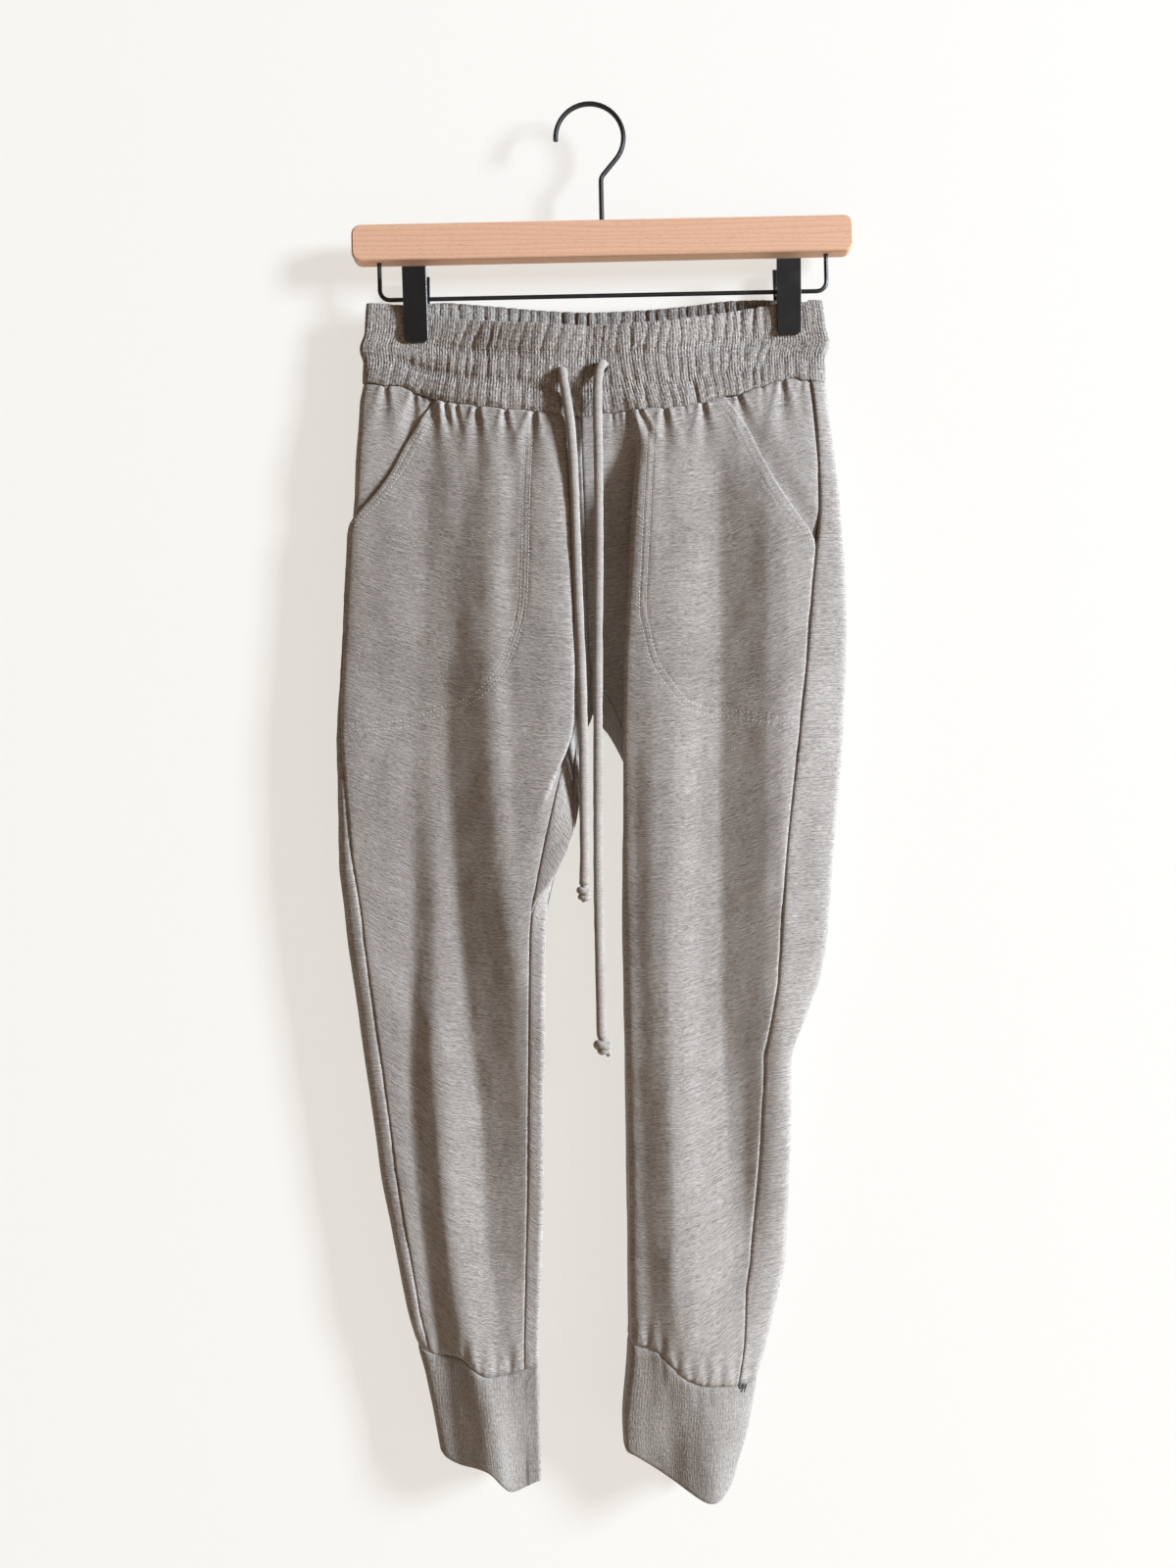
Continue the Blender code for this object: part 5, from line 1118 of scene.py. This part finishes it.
def ring(parts, top, bottom, rows, spacing):
    """A closed grid through several faces in turn, its columns evenly spaced, between two edge lines."""
    pieces = []
    for side, face, ahead in parts:
        surface = HALVES[side][face]
        middle = 0.5 * (top(face, 0.0) + bottom(face, 0.0))
        line = sample(surface, np.linspace(0.0, 1.0, PANEL_SAMPLES), np.full(PANEL_SAMPLES, middle))[:, :3]
        run = arc_lengths(line, 0)
        count = max(8, round(run[-1] / spacing))
        shares = np.interp(np.linspace(0.0, run[-1], count + 1), run, np.linspace(0.0, 1.0, PANEL_SAMPLES))
        shares = shares[:-1] if ahead else shares[:0:-1]
        down = np.linspace(0.0, 1.0, rows)[:, None]
        heights = np.full((rows, len(shares)), middle)
        for _ in range(6):
            grid = sample(surface, np.repeat(shares[None, :], rows, axis=0), heights)
            x = grid[..., 0]
            heights = (1 - down) * top(face, x) + down * bottom(face, x)
        pieces.append(grid)
    return np.concatenate(pieces, axis=1)


def pleats(run, fraction, spacing, seed, slant, wander):
    """Upright pleats round a gathered ring: 0 in the sharp valleys, 1 on the round ridges between."""
    length = run[:, -1].max()
    draw = np.random.default_rng(seed)
    spots = [0.0]
    while spots[-1] < length - 1.5 * spacing[0]:
        spots.append(spots[-1] + draw.uniform(*spacing))
    spots = np.array(spots)
    lean = draw.normal(0.0, slant, len(spots))
    phase = draw.uniform(0.0, 90.0, len(spots))
    depth = draw.uniform(0.55, 1.0, len(spots))
    made = np.empty_like(run)
    for at, share in enumerate(fraction[:, 0]):
        shift = lean * (share - 0.5) + wander * random_field(phase, np.full(len(spots), share * 4.0), seed)
        now = np.maximum.accumulate(spots + shift)
        after = np.clip(np.searchsorted(now, run[at]), 1, len(now) - 1)
        low, high = now[after - 1], now[after]
        part = np.clip((run[at] - low) / np.maximum(high - low, 0.5), 0.0, 1.0)
        bump = (4.0 * part * (1.0 - part)) ** 0.75
        size = np.clip((high - low) / spacing[1], 0.35, 1.0)
        blend = depth[after - 1] * (1 - part) + depth[after] * part
        made[at] = 1.0 - blend * size * (1.0 - bump)
    return made


BAND_ROWS = 62
round_waist = (("right", "front", True), ("right", "back", True),
               ("left", "back", False), ("left", "front", False))
grid = ring(round_waist, lambda face, x: edge_height(BAND_TOP[face], x),
            lambda face, x: band_seam(face, x) + SEAM_GAP, BAND_ROWS, 1.05)
x, y, z = grid[..., 0], grid[..., 1], grid[..., 2]
run = np.ones_like(x) * arc_lengths(grid[..., :3], 1)[BAND_ROWS // 2]
fraction = np.linspace(0.0, 1.0, BAND_ROWS)[:, None] * np.ones_like(x)
calm = np.ones_like(x)
for centre in CLIP_MIDDLES:
    gripped = (1.0 - smoothstep(9.0, 15.0, np.abs(x - centre))) * smoothstep(-196, -184, z)
    calm = np.minimum(calm, 1.0 - gripped)
sides = smoothstep(-168.0, -140.0, x) * smoothstep(175.0, 150.0, x)
strength = calm * (0.35 + 0.65 * sides)
wide = np.zeros_like(x)
plain_share = np.ones_like(x)
for seed, (top, bottom, lean) in enumerate(CHANNELS, 81):
    inside = smoothstep(top - 0.05, top + 0.05, fraction) * smoothstep(bottom + 0.05, bottom - 0.05, fraction)
    leant = run + lean * (z - z.mean(axis=0))
    wide += inside * (pleats(leant, fraction, (5.0, 11.5), seed, 2.2, 2.2) - 0.8)
    plain_share -= inside
fine = pleats(run, fraction, (2.2, 4.6), 87, 1.0, 0.9) - 0.6
tight = pleats(run, fraction, (1.9, 2.9), 88, 0.4, 0.4) - 0.6
puff = np.interp(fraction, BAND_ZONES, BAND_PUFF)
patchy = 0.75 + 0.4 * random_field(run / 26.0, z / 20.0, 89) + 0.5 * smoothstep(-10.0, 70.0, x) * (y < 0)
lift = strength * (puff + 1.55 * wide * patchy
                   + (0.28 + 0.3 * plain_share) * fine + 0.4 * plain_share * tight)
lift += strength * 0.3 * random_field(run / 9.0, z / 7.0, 83)
inner = -strength * (y > 0) * (1.9 * (pleats(run, fraction, (5.0, 11.0), 84, 1.5, 1.2) - 0.85) + 0.4 * fine)
# the cords come out of two slits in the middle channel
for hole_x, hole_z in ((-20.5, -209.0), (10.5, -203.5)):
    slit = np.exp(-((x - hole_x) / 1.5) ** 2 - ((z - hole_z) / 5.0) ** 4) * (y < 0)
    lift = lift * (1 - slit) - 2.0 * slit
uv = np.stack([run, -BAND_HEIGHT * fraction], axis=-1)
band = shell("waistband_cloth", grid, BAND_WALL, lift, uv, rib, inner_lift=inner, closed=True)
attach(band, "root")
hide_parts("waistband")
band_face = grid[..., :3] + grid[..., 3:] * (0.5 * BAND_WALL + lift)[..., None]
rows = []
for share in NEEDLE_ROWS:
    at = round(share * (BAND_ROWS - 1))
    rows.append((band_face[at], grid[at, :, 3:]))
sew("waistband_stitches", rows, 1.9, 0.9, 0.4, thread)


# ================================================================ cuffs
# Doubled tubes of fine rib, shorter round than the legs they are sewn to, so the leg's cloth puckers
# above them.
CUFF_HEM = {
    "right": ((-125, -1022), (-111, -1027), (-103, -1033), (-78, -1034), (-70, -1037.5), (-64, -1050),
              (-58, -1053), (-51, -1050), (-36, -1043)),
    "left": ((24, -1021), (33, -1023.5), (53, -1036), (84, -1055), (92, -1058.5), (101, -1055),
             (109, -1043), (122, -1040)),
}
CUFF_SEED = {"right": 90, "left": 95}
CUFF_WALL = 2.0
CUFF_ROWS = 62
cuff_rib = heather("heather_grey_cuff_rib", (0.130, 0.116, 0.104), (0.36, 0.333, 0.308), 0.5, 0.25, 0.3, 0.5,
                   wale=0.1)
for side in SIDES:
    grid = ring(((side, "front", True), (side, "back", True)),
                lambda face, x, side=side: edge_height(CUFF_SEAM[side], x) - SEAM_GAP,
                lambda face, x, side=side: edge_height(CUFF_HEM[side], x), CUFF_ROWS, 1.2)
    x, z = grid[..., 0], grid[..., 2]
    run = arc_lengths(grid[..., :3], 1)
    fraction = np.linspace(0.0, 1.0, CUFF_ROWS)[:, None] * np.ones_like(x)
    below = edge_height(CUFF_SEAM[side], x) - z
    above = z - edge_height(CUFF_HEM[side], x)
    seed = CUFF_SEED[side]
    lift = 0.55 * random_field(run / 24.0, z / 40.0, seed) + 0.2 * random_field(run / 7.0, z / 16.0, seed + 1)
    lift += 0.08 * (pleats(run, fraction, (2.0, 3.2), seed + 2, 0.6, 0.5) - 0.5)
    lift += 0.8 * (pleats(run, fraction, (7.0, 13.0), seed + 3, 2.0, 1.5) - 0.8) * np.exp(-below / 12.0)
    lift -= 1.1 * np.exp(-below / 1.5) + 0.8 * np.exp(-above / 1.0)
    uv = np.stack([run, z], axis=-1)
    cuff = shell(f"cuff_{side}_cloth", grid, CUFF_WALL, lift, uv, cuff_rib, closed=True)
    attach(cuff, "root")
    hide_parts(f"cuff_{side}")


# A loose dark stitch mends the seam above the wearer's left cuff, the one made last.
mend, tree, shader = start_material("dark_mending_thread", roughness=0.6, sheen=0.2, specular=0.25)
shader.inputs["Base Color"].default_value = (0.035, 0.04, 0.05, 1.0)
away = np.linalg.norm(grid[..., :3] - (115.0, -17.0, -966.0), axis=-1)
spot = grid[np.unravel_index(away.argmin(), away.shape)]
loops = [spot[:3] + step + spot[3:] * (0.5 * CUFF_WALL + 0.5)
         for step in ((-3.0, 0.6, 2.2), (0.2, -0.8, -1.0), (2.6, 0.4, 1.2), (0.8, -0.6, -3.4))]
loops = smooth_route(loops, 0.8)
sew("mending_stitch", [(loops, np.tile(spot[3:], (len(loops), 1)))], 1.6, -0.5, 0.9, mend)


# ================================================================ hanger
# A wire hook and a wire rail, both black powder-coated, driven into the ends and middle of a sawn beech
# bar. Two pressed-steel clips slide on the rail, each shut by a coil spring on its knuckle.
def powder_coat():
    """Black powder coat with a fine orange-peel skin, rubbed a little paler in patches."""
    made, tree, shader = start_material("black_powder_coat", roughness=0.42, specular=0.5)
    place = node(tree, "ShaderNodeTexCoord").outputs["Object"]
    smear = noise(tree, place, 60.0, 4.0)
    rubbed = ranged(tree, smear, 0.57, 0.8, 0.0, 0.25)
    colour = blended(tree, rubbed, (0.007, 0.007, 0.008), (0.045, 0.045, 0.048))
    tree.links.new(colour, shader.inputs["Base Color"])
    tree.links.new(ranged(tree, smear, 0.0, 1.0, 0.32, 0.5), shader.inputs["Roughness"])
    roughen(tree, shader, noise(tree, place, 900.0, 2.0), 0.25, 0.0002)
    return made


def beech_wood():
    """Sawn, lightly sanded beech: cathedral rings cut along the bar, short dark rays and a pink cast."""
    made, tree, shader = start_material("beech", roughness=0.55, specular=0.35)
    place = node(tree, "ShaderNodeTexCoord").outputs["Object"]
    trunk = stretched(tree, place, (7.0, 40.0, 95.0), (0.09, 0.0, 0.104))
    drift = node(tree, "ShaderNodeTexNoise", {"Vector": trunk, "Scale": 0.55, "Detail": 2.0}).outputs["Color"]
    bent = node(tree, "ShaderNodeVectorMath", {0: trunk, 1: drift}, operation="ADD").outputs[0]
    rings = node(tree, "ShaderNodeTexWave", {"Vector": bent, "Scale": 0.9, "Distortion": 3.2, "Detail": 2.0,
                                             "Detail Scale": 0.8},
                 wave_type="RINGS", rings_direction="Y", wave_profile="SAW").outputs["Fac"]
    colours = node(tree, "ShaderNodeValToRGB", {"Fac": rings})
    ramp = colours.color_ramp
    ramp.elements[0].color, ramp.elements[1].color = (0.60, 0.36, 0.242, 1.0), (0.52, 0.295, 0.187, 1.0)
    ramp.elements[0].position, ramp.elements[1].position = 0.1, 0.95
    ramp.elements.new(0.6).color = (0.585, 0.345, 0.226, 1.0)
    grain = noise(tree, stretched(tree, place, (60.0, 1500.0, 1500.0)), 1.0, 3.0)
    rays = noise(tree, stretched(tree, place, (260.0, 900.0, 1900.0)), 1.0, 1.0)
    veined = blended(tree, ranged(tree, grain, 0.35, 0.7, 0.0, 0.22), colours.outputs[0], (0.52, 0.305, 0.2))
    flecked = blended(tree, ranged(tree, rays, 0.64, 0.72, 0.0, 0.5), veined, (0.33, 0.17, 0.10))
    tree.links.new(flecked, shader.inputs["Base Color"])
    roughen(tree, shader, grain, 0.2, 0.0003)
    return made


def dress(name, finish):
    """A CAD node keeps its shape and gets this finish."""
    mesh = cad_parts[name].data
    mesh.materials.clear()
    mesh.materials.append(finish)


black = powder_coat()
for name in ("hook", "clip_rail", *CLIP_JAWS):
    dress(name, black)
dress("wooden_bar", beech_wood())
spring_steel, tree, shader = start_material("dark_spring_steel", roughness=0.35, metallic=1.0, specular=0.5)
shader.inputs["Base Color"].default_value = (0.06, 0.06, 0.065, 1.0)
for side in SIDES:
    dress(f"clip_{side}_spring", spring_steel)


# ================================================================ room
# A plain pale wall close behind, a pale floor, one soft window far to the right, and light from the open
# side of the room behind the wall, which is a sheet that shows on its front only.
def plain(name, colour, glow=(0.0, 0.0, 0.0), one_sided=False):
    """Matt paint. A glow adds light of its own, and a one-sided sheet is clear from behind."""
    made, tree, shader = start_material(name, roughness=0.9, specular=0.1)
    shader.inputs["Base Color"].default_value = (*colour, 1.0)
    shader.inputs["Emission Color"].default_value = (*glow, 1.0)
    shader.inputs["Emission Strength"].default_value = 1.0
    if one_sided:
        clear = node(tree, "ShaderNodeBsdfTransparent")
        behind = node(tree, "ShaderNodeNewGeometry").outputs["Backfacing"]
        either = node(tree, "ShaderNodeMixShader", {0: behind, 1: shader.outputs[0], 2: clear.outputs[0]})
        tree.links.new(either.outputs[0], tree.nodes["Material Output"].inputs["Surface"])
    return made


def stage_plane(name, corners, finish):
    """A flat piece of the room, which isn't part of the model."""
    mesh = bpy.data.meshes.new(name)
    mesh.from_pydata(corners, [], [(0, 1, 2, 3)])
    mesh.materials.append(finish)
    obj = bpy.data.objects.new(name, mesh)
    bpy.context.scene.collection.objects.link(obj)


WALL_Y, FLOOR_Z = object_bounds()[1].y + 0.001, -1.9
stage_plane("wall", [(-4, WALL_Y, FLOOR_Z), (4, WALL_Y, FLOOR_Z), (4, WALL_Y, 2.5), (-4, WALL_Y, 2.5)],
            plain("wall_paint", (0.21, 0.21, 0.21), glow=(0.68, 0.66, 0.625), one_sided=True))
stage_plane("floor", [(-4, -4, FLOOR_Z), (4, -4, FLOOR_Z), (4, 4, FLOOR_Z), (-4, 4, FLOOR_Z)],
            plain("floor_paint", (0.52, 0.43, 0.34)))


def soft_light(name, place, target, size, watts, colour):
    """A rectangle of light that faces the target."""
    lamp = bpy.data.lights.new(name, "AREA")
    lamp.shape = "RECTANGLE"
    lamp.size, lamp.size_y = size
    lamp.energy = watts
    lamp.color = colour
    obj = bpy.data.objects.new(name, lamp)
    obj.location = place
    obj.rotation_euler = (Vector(target) - Vector(place)).to_track_quat("-Z", "Y").to_euler()
    bpy.context.scene.collection.objects.link(obj)


soft_light("window", (7.4, -2.95, 1.6), (0.0, 0.0, -0.55), (1.1, 2.4), 2250.0, (0.80, 0.90, 1.0))
soft_light("back_window", (-4.4, 1.9, 0.7), (0.0, 0.0, -0.55), (1.6, 2.0), 620.0, (1.0, 0.97, 0.93))
world = bpy.data.worlds.new("room")
world.use_nodes = True
tree = world.node_tree
direction = node(tree, "ShaderNodeTexCoord").outputs["Generated"]
depth = node(tree, "ShaderNodeSeparateXYZ", {0: direction}).outputs["Y"]
behind = ranged(tree, depth, 0.0, 0.3, 0.0, 1.0)
seen = node(tree, "ShaderNodeLightPath").outputs["Is Camera Ray"]
fill = node(tree, "ShaderNodeBackground", {"Color": (1.0, 0.56, 0.31, 1.0), "Strength": 0.19})
open_side = node(tree, "ShaderNodeBackground", {"Color": (1.0, 0.98, 0.95, 1.0), "Strength": 0.6})
backdrop = node(tree, "ShaderNodeBackground", {"Color": (1.0, 0.99, 0.97, 1.0), "Strength": 0.88})
around = node(tree, "ShaderNodeMixShader", {0: behind, 1: fill.outputs[0], 2: open_side.outputs[0]})
shown = node(tree, "ShaderNodeMixShader", {0: seen, 1: around.outputs[0], 2: backdrop.outputs[0]})
tree.links.new(shown.outputs[0], tree.nodes["World Output"].inputs["Surface"])
bpy.context.scene.world = world
bpy.context.scene.view_settings.view_transform = "Standard"
